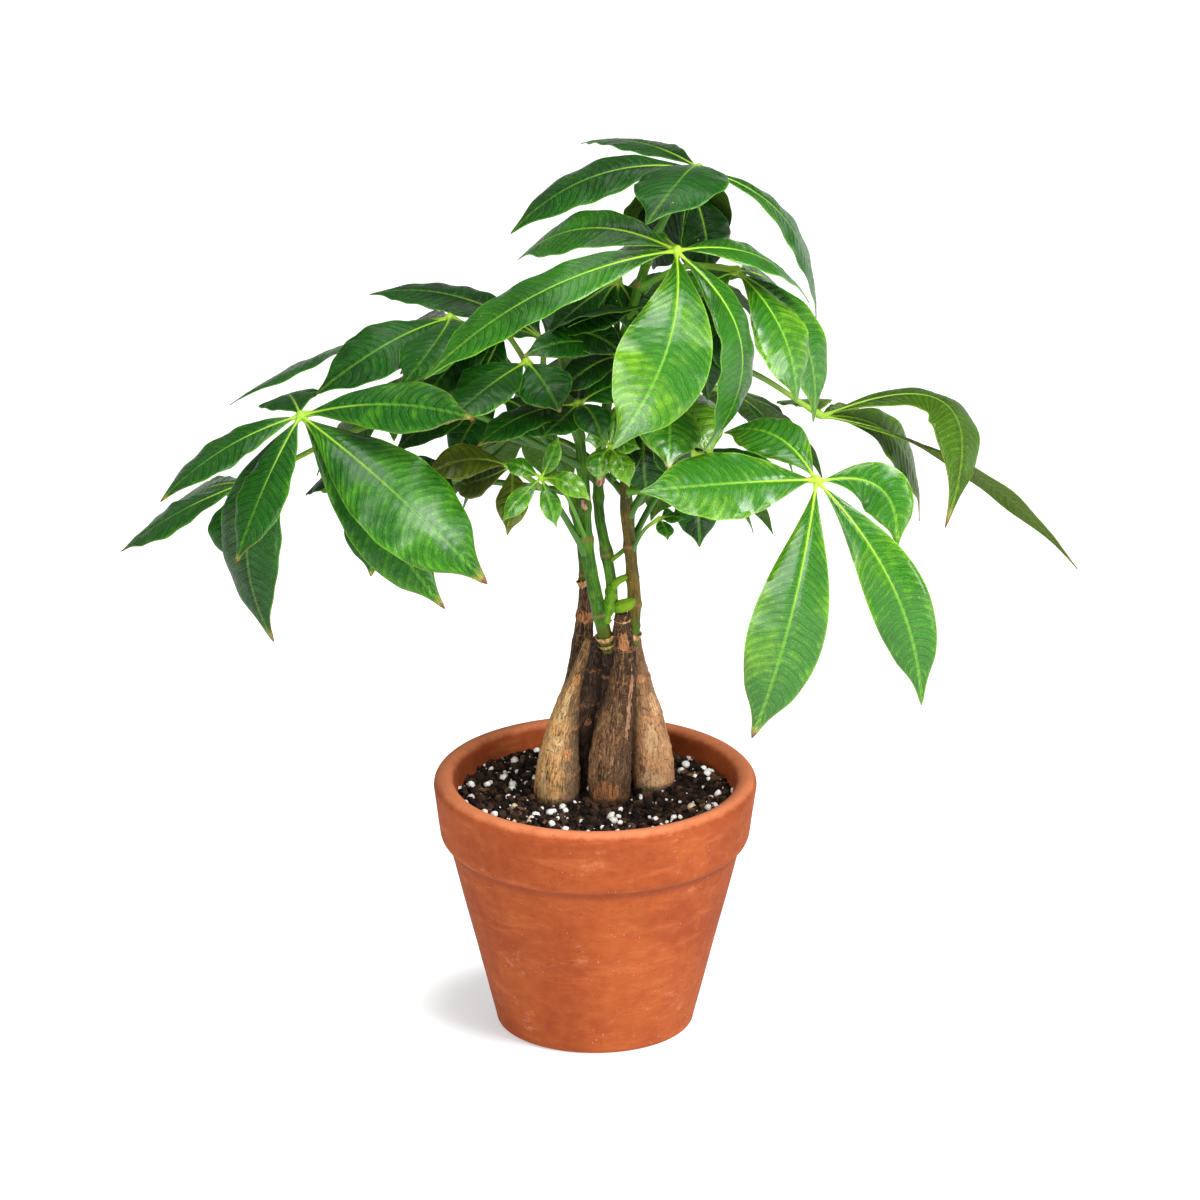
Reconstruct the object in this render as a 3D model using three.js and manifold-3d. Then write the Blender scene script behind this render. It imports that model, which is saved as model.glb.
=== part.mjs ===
// Potted money tree: six trunks pressed together in a terracotta pot, with green
// shoots on their tops and palmate leaves on long stalks.
//
// Units are millimetres, +Z is up and -Y is the front. The origin is on the pot's
// axis, at the level of its base. Every blade, trunk and holder is a closed solid.

import * as THREE from "three";
import { mergeVertices } from "three/addons/utils/BufferGeometryUtils.js";
import Module from "manifold-3d";

const wasm = await Module();
wasm.setup();

// ---------- driving dimensions ----------

const GAP = 0.35; // clearance between two pieces that touch

const POT_HEIGHT = 124;
const POT_RIM_RADIUS = 76;
const POT_RIM_HEIGHT = 33;
const POT_LIP_RADIUS = 5; // the rim's top is fully rounded
const POT_BASE_RADIUS = 46.5;
const POT_NECK_RADIUS = 68.8; // the body where it meets the rim
const POT_FLOOR = 9;
const POT_FLOOR_RADIUS = 39; // inside, at the floor
const POT_HEEL_RADIUS = 3; // the rounded edge under the base
const POT_RIM_EDGE_RADIUS = 6; // the rounded lower edge of the rim
const RIM_DRAFT = 3; // how much narrower the rim is at its foot than at its top
const POT_SIDES = 36;
const DRAIN_RADIUS = 6.5;

const SOIL_TOP = 113;
const SOIL_RELIEF = 0.66; // the height of its humps
const SOIL_EDGE_DROP = 2; // how far it sinks where it meets the wall
const SOIL_RINGS = [12, 24, 35, 45, 54, 61]; // radii of the rings of points on its top
const SOIL_SPOKES = 24;
const GRAINS = 30;
const GRAIN_RADIUS = [1.3, 2.2]; // the smallest and the largest

const BLADE_THICKNESS = 0.7;
const YOUNG_THICKNESS = 0.63; // of the blades on young leaves
const BLADE_FOLD = 0.12; // how far the edges hang, as a share of the half width
const BLADE_STEPS = 24; // fine steps along a blade's rib
const BLADE_ROWS = [ // the steps that get a row of points, by the leaflet's length
  { upTo: 32, rows: [0, 11, 24] },
  { upTo: 96, rows: [0, 3, 9, 16, 24] },
  { upTo: Infinity, rows: [0, 2, 7, 13, 19, 24] },
];
const BLADE_START = 1.4; // how far from the hub's middle a blade starts
const BLADE_BELLY = 0.57; // where along its length a blade is widest
const TWIST_END = 0.4; // where along its length a blade has its whole twist
const RIB_HALF_WIDTH = 0.8;
const TIP_HALF_WIDTH = 0.4;

const STALK_FOOT_RADIUS = 1.7;
const STALK_HUB_RADIUS = 1.2;
const HUB_RADIUS = 3.1;
const STALK_RISE = 0.12; // how high a stalk's middle bows, as a share of its length

// ---------- colours ----------

const CLAY = [0xc8673a, 0.85];
const POTTING_MIX = [0x2a211b, 0.95];
const BARK_TAN = [0xb39467, 0.9];
const BARK_DARK = [0x5e4a3b, 0.9];
const BARK_ROSY = [0xa78763, 0.9];
const GREEN_STEM = [0x56802f, 0.6];
const OLIVE_STEM = [0x76703a, 0.7];
const LEAF_BRIGHT = [0x4f9a35, 0.45];
const LEAF_DEEP = [0x2f6b2c, 0.45];
const LEAF_OLIVE = [0x6b7a2a, 0.5];

// ---------- trunks, from under the soil to their tops: [x, y, z, radius] ----------

const TRUNKS = [
  {
    name: "trunk_front_left",
    paint: BARK_TAN,
    path: [
      [-17.8, -4, 84, 8], [-17.8, -4, 102, 10.4], [-17.5, -3.5, 122, 10.8], [-16.5, -2, 138, 9.1],
      [-13.2, 0.5, 156, 6.2], [-7.8, 4, 172, 4.1], [-1.5, 6, 190, 3],
    ],
  },
  {
    name: "trunk_front_middle",
    paint: BARK_DARK,
    path: [
      [7, -5, 84, 8], [7, -5, 104, 9.2], [7.2, -5, 128, 10.3], [8.5, -5, 145, 9.1],
      [12, -6, 166, 6.8], [13.5, -7.5, 185, 5.6], [12.8, -8, 207, 4.4],
    ],
  },
  {
    name: "trunk_right",
    paint: BARK_ROSY,
    path: [
      [27, 11, 84, 8], [27, 11, 104, 9.4], [27, 11, 124, 9.9], [25.5, 9, 142, 8.4],
      [22, 6, 162, 6.3], [19, 5.5, 178, 4.8], [17.5, 6, 190, 4],
    ],
  },
  {
    name: "trunk_inner_left",
    paint: BARK_DARK,
    path: [
      [-8, 14, 84, 5.5], [-8, 13, 110, 6.6], [-8, 11, 134, 6.4], [-5.5, 6, 150, 5.6],
      [-1.5, 0, 168, 4.9], [1, -1.5, 183, 4.2], [2.5, -1.5, 193, 3.6],
    ],
  },
  {
    name: "trunk_back_left",
    paint: BARK_DARK,
    path: [
      [-19.5, 17, 84, 6], [-19.5, 17, 108, 7.4], [-18, 17, 125, 7.4], [-13.5, 16.5, 145, 6.4],
      [-8.5, 15.5, 166, 5.4], [-5.8, 15, 186, 4.8], [-4.8, 15, 199, 3.9], [-4, 15, 214, 3.4],
    ],
  },
  {
    name: "trunk_inner_right",
    paint: BARK_DARK,
    path: [
      [4, 15, 84, 3], [4, 15, 112, 3.6], [1, 11, 138, 3.5], [3.5, 4, 155, 3.2],
      [6, -3, 172, 3], [6.3, -8.5, 192, 3.2],
    ],
  },
];

// ---------- green shoots on the trunks ----------

const SHOOTS = [
  {
    name: "shoot_left",
    paint: GREEN_STEM,
    path: [
      [6.3, -8.5, 190, 3], [2.5, -9, 207, 3.4], [-3.6, -8, 240, 3], [-5.6, -6, 278, 2.6],
      [-9, -5, 312, 2.2],
    ],
  },
  {
    name: "shoot_middle",
    paint: GREEN_STEM,
    path: [
      [3.4, -9, 203, 2.4], [7.6, -4, 216, 2.6], [5.6, 1, 233, 2.5], [1.8, 5, 254, 2.4], [2, 8, 280, 2.4],
      [8, 10, 320, 2.3], [20, 9, 365, 2.2], [28, 7, 392, 2],
    ],
  },
  {
    name: "shoot_right",
    paint: OLIVE_STEM,
    path: [
      [17, -7, 192, 3], [18.4, -5, 214, 2.9], [15.8, -2, 244, 2.6], [14.2, 0, 264, 2.5],
      [22, 3, 302, 2.3], [29, 6, 330, 2],
    ],
  },
  {
    name: "shoot_back_left",
    paint: GREEN_STEM,
    path: [[-4, 15, 211, 2.6], [-8, 19, 245, 2.6], [-20, 24, 284, 2.4], [-34, 24, 312, 2]],
  },
  {
    name: "shoot_back",
    paint: GREEN_STEM,
    path: [
      [17.6, 6, 187, 2.8], [18, 10, 206, 2.8], [16, 22, 240, 2.6], [13, 38, 275, 2.4],
      [12, 50, 302, 2],
    ],
  },
];

// A thick bud that leans off the foot of one shoot.
const SIDE_BUD = { shoot: "shoot_right", path: [[17.5, -6.5, 206, 2.4], [12, -8, 212.5, 3.4]] };

// ---------- leaves ----------
// hub: where the leaflets meet. face: the way the leaf looks. foot: how far along its
// shoot the stalk starts. Each leaflet is [dx, dy, dz, width, arch, sway, roll]: its tip
// from the hub, its greatest width, how far its middle bows towards the face and to the
// side, and its twist in degrees. A leaf may state its stalk's rise. A young leaf is slim:
// its stalk, its hub and its blades' roots are thinner by that share.

const LEAVES = [
  {
    name: "leaf_crown_front", shoot: "shoot_middle", foot: 0.93, paint: LEAF_BRIGHT,
    hub: [38, -45, 406], face: [0.1, -0.55, 0.8],
    leaflets: [
      [-30, -55, -78, 44, 14, -11], [12, -17, -95, 34, 12, -22, -25], [-117, -35, -51, 36, 9, 8, 25],
      [-74, 44, -22, 33, 12, 6, 8], [62, 40, -42, 27, 10, -6, -22], [-34, 60, -30, 26, 6, 2],
    ],
  },
  {
    name: "leaf_crown_top", shoot: "shoot_middle", foot: 1, paint: LEAF_DEEP,
    hub: [48.5, 5, 427.5], face: [0.05, -0.1, 1],
    leaflets: [
      [-25, -83, 3.5, 44, 12, -5], [-55, 73, -15.5, 30, 6, 1, 8], [55, 12, -88, 31, 18, -8, 12],
      [-88, 0, -33, 34, 10, 8, -10], [-24, 44, -64, 36, 14, 0], [2, 46, -66, 27, 9, 0],
    ],
  },
  {
    name: "leaf_crown_right", shoot: "shoot_middle", foot: 0.86, paint: LEAF_BRIGHT,
    hub: [66, -12, 383], face: [0.35, -0.35, 0.85],
    leaflets: [
      [28, -24, -57, 32, 12, 1], [36, 4, -78, 28, 10, -10, 24], [-21, -36, -36, 30, 16, 11],
      [34, 58, -52, 30, 5, -6], [-10, 58, -30, 26, 4, -4],
    ],
  },
  {
    name: "leaf_right_low", shoot: "shoot_right", foot: 0.62, rise: -0.02, paint: LEAF_BRIGHT,
    hub: [103, -80, 305], face: [0.05, -0.8, 0.6],
    leaflets: [
      [-82, -28, 5, 37, 4, 0, 15], [-43, 44, 6, 28, 6, 8, 10], [37, -6, -32, 25, 6, -15, 10],
      [-30, -12, -125, 36, 12, -4], [49, -8, -110, 29, 12, -9, 12],
    ],
  },
  {
    name: "leaf_right_high", shoot: "shoot_right", foot: 1, paint: LEAF_DEEP,
    hub: [105, 28, 295], face: [0.1, -0.15, 1],
    leaflets: [
      [59, -36, -43, 36, 29, -33, -16], [122, 2, -79, 27, 13, -6, -38], [48, 30, -66, 34, 18, -4, 25],
      [40, 60, -34, 30, 6, -1], [-10, 46, -14, 26, 5, -1],
    ],
  },
  {
    name: "leaf_left_outer", shoot: "shoot_left", foot: 0.78, paint: LEAF_DEEP,
    hub: [-137, -50, 325.5], face: [-0.1, -0.55, 0.8],
    leaflets: [
      [87, -42, -68, 47, 15, 3], [81, -38, 13, 29, 3, -5, -4], [-30, -42, -58, 28, 12, -2, 22],
      [-13, -10, -110, 36, 7, 17], [-65, -24, -34, 32, 2, 5, 32], [-9, 56, -15, 30, 6, 1],
      [67, -6, -95, 31, 2, 2],
    ],
  },
  {
    name: "leaf_left_low", shoot: "shoot_back_left", foot: 0.62, rise: 0.16, paint: LEAF_DEEP,
    hub: [-163, -5, 274], face: [-0.3, -0.2, 0.9],
    leaflets: [
      [-59, -5, -33, 30, 6, -4, 10], [-46, 55, -44, 30, 5, 3], [-4, -23, -34, 26, 9, 1],
      [4, 52, -34, 28, 6, 3],
    ],
  },
  {
    name: "leaf_left_mid", shoot: "shoot_back_left", foot: 1, paint: LEAF_DEEP,
    hub: [-68, 12, 350], face: [-0.2, -0.35, 0.9],
    leaflets: [
      [-103, -10, -40, 32, 2, 7, 34], [-62, -40, -23, 36, 11, -6, -8], [-23, -60, -13, 34, 9, -8, -8],
      [-40, 62, -40, 30, 2, 4], [18, 52, -42, 28, 2, -1],
    ],
  },
  {
    name: "leaf_left_top", shoot: "shoot_back_left", foot: 0.78, paint: LEAF_DEEP,
    hub: [-24, 15, 338], face: [0, -0.2, 1],
    leaflets: [
      [-82, 50, 3, 30, 10, 2, 6], [50, -25, 26, 30, 8, 6], [-56, -26, 8, 28, 9, -2, 10],
      [16, 40, -4, 28, 8, 1], [-20, 64, -8, 30, 7, -5],
    ],
  },
  {
    name: "leaf_centre_dark", shoot: "shoot_left", foot: 1, paint: LEAF_DEEP,
    hub: [-8, -22, 320], face: [0, -0.3, 0.95],
    leaflets: [
      [-47, -24, -12, 28, 6, 1, 15], [-16, -26, -6, 20, 3, -2], [30, 10, 7, 24, 3, -1],
      [12, -28, -9, 18, 7, 0], [2, 46, -3, 22, 2, 0],
    ],
  },
  {
    name: "leaf_young_left", shoot: "shoot_left", foot: 0.54, paint: LEAF_BRIGHT, slim: 0.6,
    hub: [-25, -52, 295], face: [0, -0.75, 0.65],
    leaflets: [
      [8, -2, 21, 10, 3, 1], [23, -10, -8, 11, 7, -1], [7, -10, -21, 10, 5, 0],
      [-18, -8, -19, 10, 4, 0], [-17, 4, 6, 10, 6, -1],
    ],
  },
  {
    name: "leaf_young_middle", shoot: "shoot_middle", foot: 0.56, paint: LEAF_BRIGHT, slim: 0.6,
    hub: [7, -30, 302], face: [0.1, -0.7, 0.7],
    leaflets: [
      [-5, -10, -14, 13, 4, 2], [9, -12, -16, 12, 5, 0], [14, -4, 0, 11, 5, 0],
      [-12, -4, 4, 11, 4, 1], [2, 6, 17, 13, 1, 0],
    ],
  },
  {
    name: "leaf_young_right", shoot: "shoot_right", foot: 0.35, paint: LEAF_DEEP, slim: 0.6,
    hub: [30, -14, 259], face: [0.3, -0.5, 0.8],
    leaflets: [[12, -6, 2, 8, 2, 0], [4, -14, -5, 9, 2, 0], [8, 10, -2, 8, 2, 0]],
  },
  {
    name: "leaf_centre_right", shoot: "shoot_right", foot: 0.85, paint: LEAF_BRIGHT,
    hub: [34, -18, 319], face: [0.2, -0.5, 0.8],
    leaflets: [
      [0, -44, -16, 32, 9, 1], [20, -22, -18, 26, 6, -2], [-22, -34, 1, 26, 4, 2],
      [31, 48, -27, 28, 3, -5], [-13, 60, -22, 28, 3, -2],
    ],
  },
  {
    name: "leaf_low_right", shoot: "shoot_right", foot: 0.5, paint: LEAF_DEEP,
    hub: [45, 20, 279], face: [0.3, -0.2, 0.9],
    leaflets: [
      [4, -20, -40, 24, 5, 2], [47, 0, -19, 26, 5, -1], [26, 60, -40, 26, 4, -4],
      [-14, 28, -26, 22, 2, -3],
    ],
  },
  {
    name: "leaf_left_inner", shoot: "shoot_left", foot: 0.88, paint: LEAF_DEEP,
    hub: [-32, -14, 338], face: [-0.1, -0.45, 0.85],
    leaflets: [[-36, -18, -16, 28, 7, -3], [-38, -60, -8, 30, 4, -1, 10], [16, -30, -14, 26, 5, 0]],
  },
  {
    name: "leaf_left_behind", shoot: "shoot_back_left", foot: 0.45, rise: 0.02, paint: LEAF_DEEP,
    hub: [-110, 14, 270], face: [-0.2, -0.3, 0.9],
    leaflets: [
      [5, -26, -41, 26, 9, -4], [46, -18, -7, 30, 8, -2], [-22, 30, -20, 26, 6, -1],
      [-12, 38, -26, 26, 6, 2], [16, 50, -34, 28, 6, 3],
    ],
  },
  {
    name: "leaf_withered", shoot: "shoot_left", foot: 0.48, paint: LEAF_OLIVE,
    hub: [-39, -20, 288], face: [-0.2, -0.5, 0.8],
    leaflets: [[-41, -10, -2, 19, 8, 1], [-2, -22, -26, 16, 7, -3], [-28, 30, -22, 18, -1, -1]],
  },
];

// Leaves at the back: their leaflets spread by rule about the way the leaf heads, in
// degrees about +Z, with 90 straight back. reach is the middle leaflet's length, and droop
// its fall in degrees.
const SPREAD = 100; // degrees from the middle leaflet to the outermost
const SHORTER = 0.3; // how much shorter the outermost is
const SPREAD_WIDTH = 0.36; // a leaflet's width, as a share of its length
const SPREAD_ARCH = 0.12;
const DROOP_RANGE = 8; // degrees by which leaflets differ in their fall
const BACK_LEAVES = [
  {
    name: "leaf_back_high", shoot: "shoot_middle", foot: 0.82, hub: [38, 53, 357],
    heading: 64, count: 5, reach: 78, droop: 36,
  },
  {
    name: "leaf_back_centre", shoot: "shoot_back", foot: 1, hub: [2, 64, 316],
    heading: 96, count: 6, reach: 80, droop: 44,
  },
  {
    name: "leaf_back_left", shoot: "shoot_back_left", foot: 0.9, hub: [-84, 65, 302],
    heading: 122, count: 6, reach: 79, droop: 44,
  },
  {
    name: "leaf_back_right", shoot: "shoot_back", foot: 0.85, hub: [62, 64, 294],
    heading: 64, count: 5, reach: 74, droop: 42,
  },
  {
    name: "leaf_back_low", shoot: "shoot_back", foot: 0.6, hub: [-34, 70, 270],
    heading: 112, count: 5, reach: 70, droop: 42,
  },
  {
    name: "leaf_back_low_right", shoot: "shoot_back", foot: 0.45, hub: [46, 72, 252],
    heading: 70, count: 5, reach: 62, droop: 40,
  },
];

// A share from 0 to 1 that differs from one repeat to the next without a pattern.
function evenShare(i) {
  return (i * 0.618) % 1;
}

// ---------- closed meshes ----------

function geometryFrom(points, faces) {
  const geometry = new THREE.BufferGeometry();
  const places = points.flatMap((p) => p.toArray());
  geometry.setAttribute("position", new THREE.Float32BufferAttribute(places, 3));
  geometry.setIndex(faces.flat());
  return geometry;
}

function solidFrom(geometry) {
  const bare = geometry.clone();
  bare.deleteAttribute("normal");
  bare.deleteAttribute("uv");
  const merged = mergeVertices(bare, 1e-4);
  return new wasm.Manifold(new wasm.Mesh({
    numProp: 3,
    vertProperties: new Float32Array(merged.attributes.position.array),
    triVerts: new Uint32Array(merged.index.array),
  }));
}

function meshFrom(name, solid, [colour, roughness]) {
  const found = solid.getMesh();
  const geometry = new THREE.BufferGeometry();
  geometry.setAttribute("position", new THREE.Float32BufferAttribute(found.vertProperties, 3));
  geometry.setIndex(new THREE.BufferAttribute(found.triVerts, 1));
  geometry.computeVertexNormals();
  const material = new THREE.MeshStandardMaterial({ color: colour, roughness, metalness: 0 });
  const mesh = new THREE.Mesh(geometry, material);
  mesh.name = name;
  return mesh;
}

function curveThrough(path) {
  return new THREE.CatmullRomCurve3(path.map(([x, y, z]) => new THREE.Vector3(x, y, z)));
}

// A round bar through the points of a path, each with its own radius. It swells on all
// sides, its ends too, to make the room that it needs in its neighbours.
function bar(path, sides, steps, swell = 0) {
  const curve = curveThrough(path);
  const centres = curve.getPoints(steps);
  const first = curve.getTangent(0);
  const last = curve.getTangent(1);
  centres[0].addScaledVector(first, -swell);
  centres[steps].addScaledVector(last, swell);
  let across = new THREE.Vector3(1, 0, 0.01).cross(first).normalize();
  const points = [];
  for (let i = 0; i <= steps; i += 1) {
    const along = curve.getTangent(i / steps);
    across = across.addScaledVector(along, -across.dot(along)).normalize();
    const aside = new THREE.Vector3().crossVectors(along, across);
    const place = (i / steps) * (path.length - 1);
    const k = Math.min(Math.floor(place), path.length - 2);
    const radius = THREE.MathUtils.lerp(path[k][3], path[k + 1][3], place - k) + swell;
    for (let j = 0; j < sides; j += 1) {
      const turn = (j / sides) * 2 * Math.PI;
      points.push(centres[i].clone()
        .addScaledVector(across, radius * Math.cos(turn))
        .addScaledVector(aside, radius * Math.sin(turn)));
    }
  }
  const faces = [];
  for (let i = 0; i < steps; i += 1) {
    for (let j = 0; j < sides; j += 1) {
      const a = i * sides + j;
      const b = i * sides + ((j + 1) % sides);
      faces.push([a, b, b + sides], [a, b + sides, a + sides]);
    }
  }
  const top = steps * sides;
  for (let j = 1; j < sides - 1; j += 1) {
    faces.push([0, j + 1, j], [top, top + j, top + j + 1]);
  }
  return solidFrom(geometryFrom(points, faces));
}

function knob(centre, radius, turn = 0) {
  const geometry = new THREE.OctahedronGeometry(radius, 0);
  geometry.rotateX(turn);
  geometry.rotateZ(2 * turn);
  geometry.translate(...centre);
  return solidFrom(geometry);
}

// ---------- pot ----------

function potWallInside(z) {
  const share = (z - POT_FLOOR) / (POT_HEIGHT - POT_LIP_RADIUS - POT_FLOOR);
  const lipInside = POT_RIM_RADIUS - 2 * POT_LIP_RADIUS;
  return THREE.MathUtils.lerp(POT_FLOOR_RADIUS, lipInside, share);
}

function arcPoints(x, y, radius, from, to, count) {
  const points = [];
  for (let i = 0; i <= count; i += 1) {
    const angle = THREE.MathUtils.degToRad(from + ((to - from) * i) / count);
    points.push(new THREE.Vector2(x + radius * Math.cos(angle), y + radius * Math.sin(angle)));
  }
  return points;
}

function pot() {
  const lip = POT_RIM_RADIUS - POT_LIP_RADIUS;
  const rimFoot = POT_HEIGHT - POT_RIM_HEIGHT;
  const heel = POT_HEEL_RADIUS;
  const edge = POT_RIM_EDGE_RADIUS;
  const inside = [100, 40].map((z) => new THREE.Vector2(potWallInside(z), z));
  const profile = [
    new THREE.Vector2(DRAIN_RADIUS, 0),
    ...arcPoints(POT_BASE_RADIUS - heel, heel, heel, -90, -10, 2),
    new THREE.Vector2(POT_NECK_RADIUS, rimFoot),
    ...arcPoints(POT_RIM_RADIUS - RIM_DRAFT - edge, rimFoot + edge, edge, -60, 0, 2),
    ...arcPoints(lip, POT_HEIGHT - POT_LIP_RADIUS, POT_LIP_RADIUS, -5, 180, 5),
    ...inside,
    new THREE.Vector2(POT_FLOOR_RADIUS + 1, POT_FLOOR + 3),
    new THREE.Vector2(POT_FLOOR_RADIUS - 3, POT_FLOOR),
    new THREE.Vector2(DRAIN_RADIUS, POT_FLOOR),
  ];
  profile.push(profile[0].clone());
  const geometry = new THREE.LatheGeometry(profile, POT_SIDES);
  geometry.rotateX(Math.PI / 2);
  return solidFrom(geometry);
}

// ---------- soil ----------

// The humps of the soil: two waves, a slow and a quick one.
function relief(x, y) {
  const slow = Math.sin(x * 0.21 + 0.6) * Math.cos(y * 0.17 - 0.4);
  const quick = Math.sin(x * 0.53 - y * 0.31) * Math.sin(y * 0.47 + x * 0.19);
  return SOIL_RELIEF * (slow + quick);
}

function soilBody() {
  const spokes = SOIL_SPOKES;
  const edgeHeight = SOIL_TOP - SOIL_EDGE_DROP;
  const waistHeight = edgeHeight / 2;
  const points = [new THREE.Vector3(0, 0, SOIL_TOP)];
  const ring = (radius, height) => {
    for (let j = 0; j < spokes; j += 1) {
      const turn = (j / spokes) * 2 * Math.PI;
      const x = radius * Math.cos(turn);
      const y = radius * Math.sin(turn);
      points.push(new THREE.Vector3(x, y, height(x, y)));
    }
  };
  for (const radius of SOIL_RINGS) {
    ring(radius, (x, y) => SOIL_TOP + relief(x, y));
  }
  ring(potWallInside(edgeHeight) - 2 * GAP, () => edgeHeight);
  ring(potWallInside(waistHeight) - 2 * GAP, () => waistHeight);
  ring(POT_FLOOR_RADIUS - GAP, () => POT_FLOOR + 3 + GAP);
  ring(POT_FLOOR_RADIUS - 4, () => POT_FLOOR + GAP);
  const faces = [];
  const bands = SOIL_RINGS.length + 4;
  for (let j = 0; j < spokes; j += 1) {
    const next = (j + 1) % spokes;
    faces.push([0, 1 + j, 1 + next]);
    for (let i = 0; i < bands - 1; i += 1) {
      const a = 1 + i * spokes + j;
      const b = 1 + i * spokes + next;
      faces.push([a, a + spokes, b + spokes], [a, b + spokes, b]);
    }
  }
  const low = 1 + (bands - 1) * spokes;
  for (let j = 1; j < spokes - 1; j += 1) {
    faces.push([low, low + j + 1, low + j]);
  }
  return solidFrom(geometryFrom(points, faces));
}

// White grains lie on the soil in a sunflower pattern, sunk by nearly half.
function grains() {
  const golden = Math.PI * (3 - Math.sqrt(5));
  const pieces = [];
  for (let i = 0; i < GRAINS; i += 1) {
    const reach = SOIL_RINGS.at(-1) * Math.sqrt((i + 0.5) / GRAINS);
    const x = reach * Math.cos(i * golden);
    const y = reach * Math.sin(i * golden);
    const radius = THREE.MathUtils.lerp(...GRAIN_RADIUS, evenShare(i));
    pieces.push(knob([x, y, SOIL_TOP + relief(x, y) + radius / 4], radius, i));
  }
  return pieces;
}

// ---------- blades ----------

// A blade tapers long to its hub and rounder to its tip.
function bladeHalfWidth(t, width) {
  const slimmest = THREE.MathUtils.lerp(RIB_HALF_WIDTH, TIP_HALF_WIDTH, t);
  const share = t < BLADE_BELLY
    ? Math.sin((Math.PI / 2) * (t / BLADE_BELLY)) ** 1.25
    : Math.max(0, Math.cos((Math.PI / 2) * ((t - BLADE_BELLY) / (1 - BLADE_BELLY)))) ** 0.85;
  return Math.max(slimmest, (width / 2) * share);
}

// The rib is a quadratic curve from the hub to the tip, and the face turns along with it.
function bladeFrames(leaf, [dx, dy, dz, , arch, sway = 0, roll = 0]) {
  const chord = new THREE.Vector3(dx, dy, dz);
  const along = chord.clone().normalize();
  const face = new THREE.Vector3(...leaf.face);
  const up = face.clone().addScaledVector(along, -face.dot(along)).normalize();
  const side = new THREE.Vector3().crossVectors(along, up);
  const hub = new THREE.Vector3(...leaf.hub);
  const start = hub.clone().addScaledVector(along, BLADE_START * (leaf.slim ?? 1));
  const end = hub.clone().add(chord);
  const bow = new THREE.Vector3().addScaledVector(up, 2 * arch).addScaledVector(side, 2 * sway);
  const curve = new THREE.QuadraticBezierCurve3(start, start.clone().lerp(end, 0.5).add(bow), end);
  const normal = face.clone();
  const frames = [];
  for (let i = 0; i <= BLADE_STEPS; i += 1) {
    const t = i / BLADE_STEPS;
    const tangent = curve.getTangent(t);
    normal.addScaledVector(tangent, -normal.dot(tangent)).normalize();
    const twist = THREE.MathUtils.degToRad(roll) * Math.min(1, t / TWIST_END);
    const lift = normal.clone().applyAxisAngle(tangent, twist);
    const across = new THREE.Vector3().crossVectors(tangent, lift);
    frames.push({ t, centre: curve.getPoint(t), lift, across });
  }
  return frames;
}

function blade(leaf, leaflet) {
  const thickness = leaf.slim ? YOUNG_THICKNESS : BLADE_THICKNESS;
  const frames = bladeFrames(leaf, leaflet);
  const length = Math.hypot(...leaflet.slice(0, 3));
  const { rows } = BLADE_ROWS.find(({ upTo }) => length <= upTo);
  const points = [];
  for (const row of rows) {
    const { t, centre, lift, across } = frames[row];
    const half = bladeHalfWidth(t, leaflet[3]) * (row === 0 ? leaf.slim ?? 1 : 1);
    const top = [-1, 0, 1].map((share) => centre.clone()
      .addScaledVector(across, share * half)
      .addScaledVector(lift, -Math.abs(share) * BLADE_FOLD * half));
    points.push(...top, ...top.map((p) => p.clone().addScaledVector(lift, -thickness)));
  }
  const faces = [];
  for (let r = 0; r < rows.length - 1; r += 1) {
    const a = r * 6;
    const b = a + 6;
    for (const c of [0, 1]) {
      faces.push([a + c, a + c + 1, b + c + 1], [a + c, b + c + 1, b + c]);
      faces.push([a + c + 3, b + c + 4, a + c + 4], [a + c + 3, b + c + 3, b + c + 4]);
    }
    faces.push([a, b, b + 3], [a, b + 3, a + 3]);
    faces.push([a + 2, b + 5, b + 2], [a + 2, a + 5, b + 5]);
  }
  const end = (rows.length - 1) * 6;
  faces.push([0, 3, 4], [0, 4, 1], [1, 4, 5], [1, 5, 2]);
  faces.push([end, end + 4, end + 3], [end, end + 1, end + 4]);
  faces.push([end + 1, end + 5, end + 4], [end + 1, end + 2, end + 5]);
  return solidFrom(geometryFrom(points, faces));
}

// ---------- leaves ----------

function spreadLeaflets({ heading, count, reach, droop }) {
  const leaflets = [];
  for (let i = 0; i < count; i += 1) {
    const share = (2 * i) / (count - 1) - 1;
    const turn = THREE.MathUtils.degToRad(heading + share * SPREAD);
    const fall = THREE.MathUtils.degToRad(droop + DROOP_RANGE * evenShare(i));
    const length = reach * (1 - SHORTER * share * share);
    leaflets.push([
      length * Math.cos(turn) * Math.cos(fall),
      length * Math.sin(turn) * Math.cos(fall),
      -length * Math.sin(fall),
      length * SPREAD_WIDTH,
      length * SPREAD_ARCH,
    ]);
  }
  return leaflets;
}

function backLeaf(rule) {
  const turn = THREE.MathUtils.degToRad(rule.heading);
  return {
    ...rule,
    paint: LEAF_DEEP,
    face: [0.35 * Math.cos(turn), 0.35 * Math.sin(turn), 0.9],
    leaflets: spreadLeaflets(rule),
  };
}

// The stalk leaves its shoot outward, climbs and bends over into the hub.
function stalkPath(leaf, shoot) {
  const foot = curveThrough(shoot.path).getPoint(leaf.foot);
  const hub = new THREE.Vector3(...leaf.hub);
  const bend = foot.clone().lerp(hub, 0.5);
  bend.z += foot.distanceTo(hub) * (leaf.rise ?? STALK_RISE);
  const thin = leaf.slim ?? 1;
  return [
    [...foot.toArray(), STALK_FOOT_RADIUS * thin],
    [...bend.toArray(), ((STALK_FOOT_RADIUS + STALK_HUB_RADIUS) / 2) * thin],
    [...hub.toArray(), STALK_HUB_RADIUS * thin],
  ];
}

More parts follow.
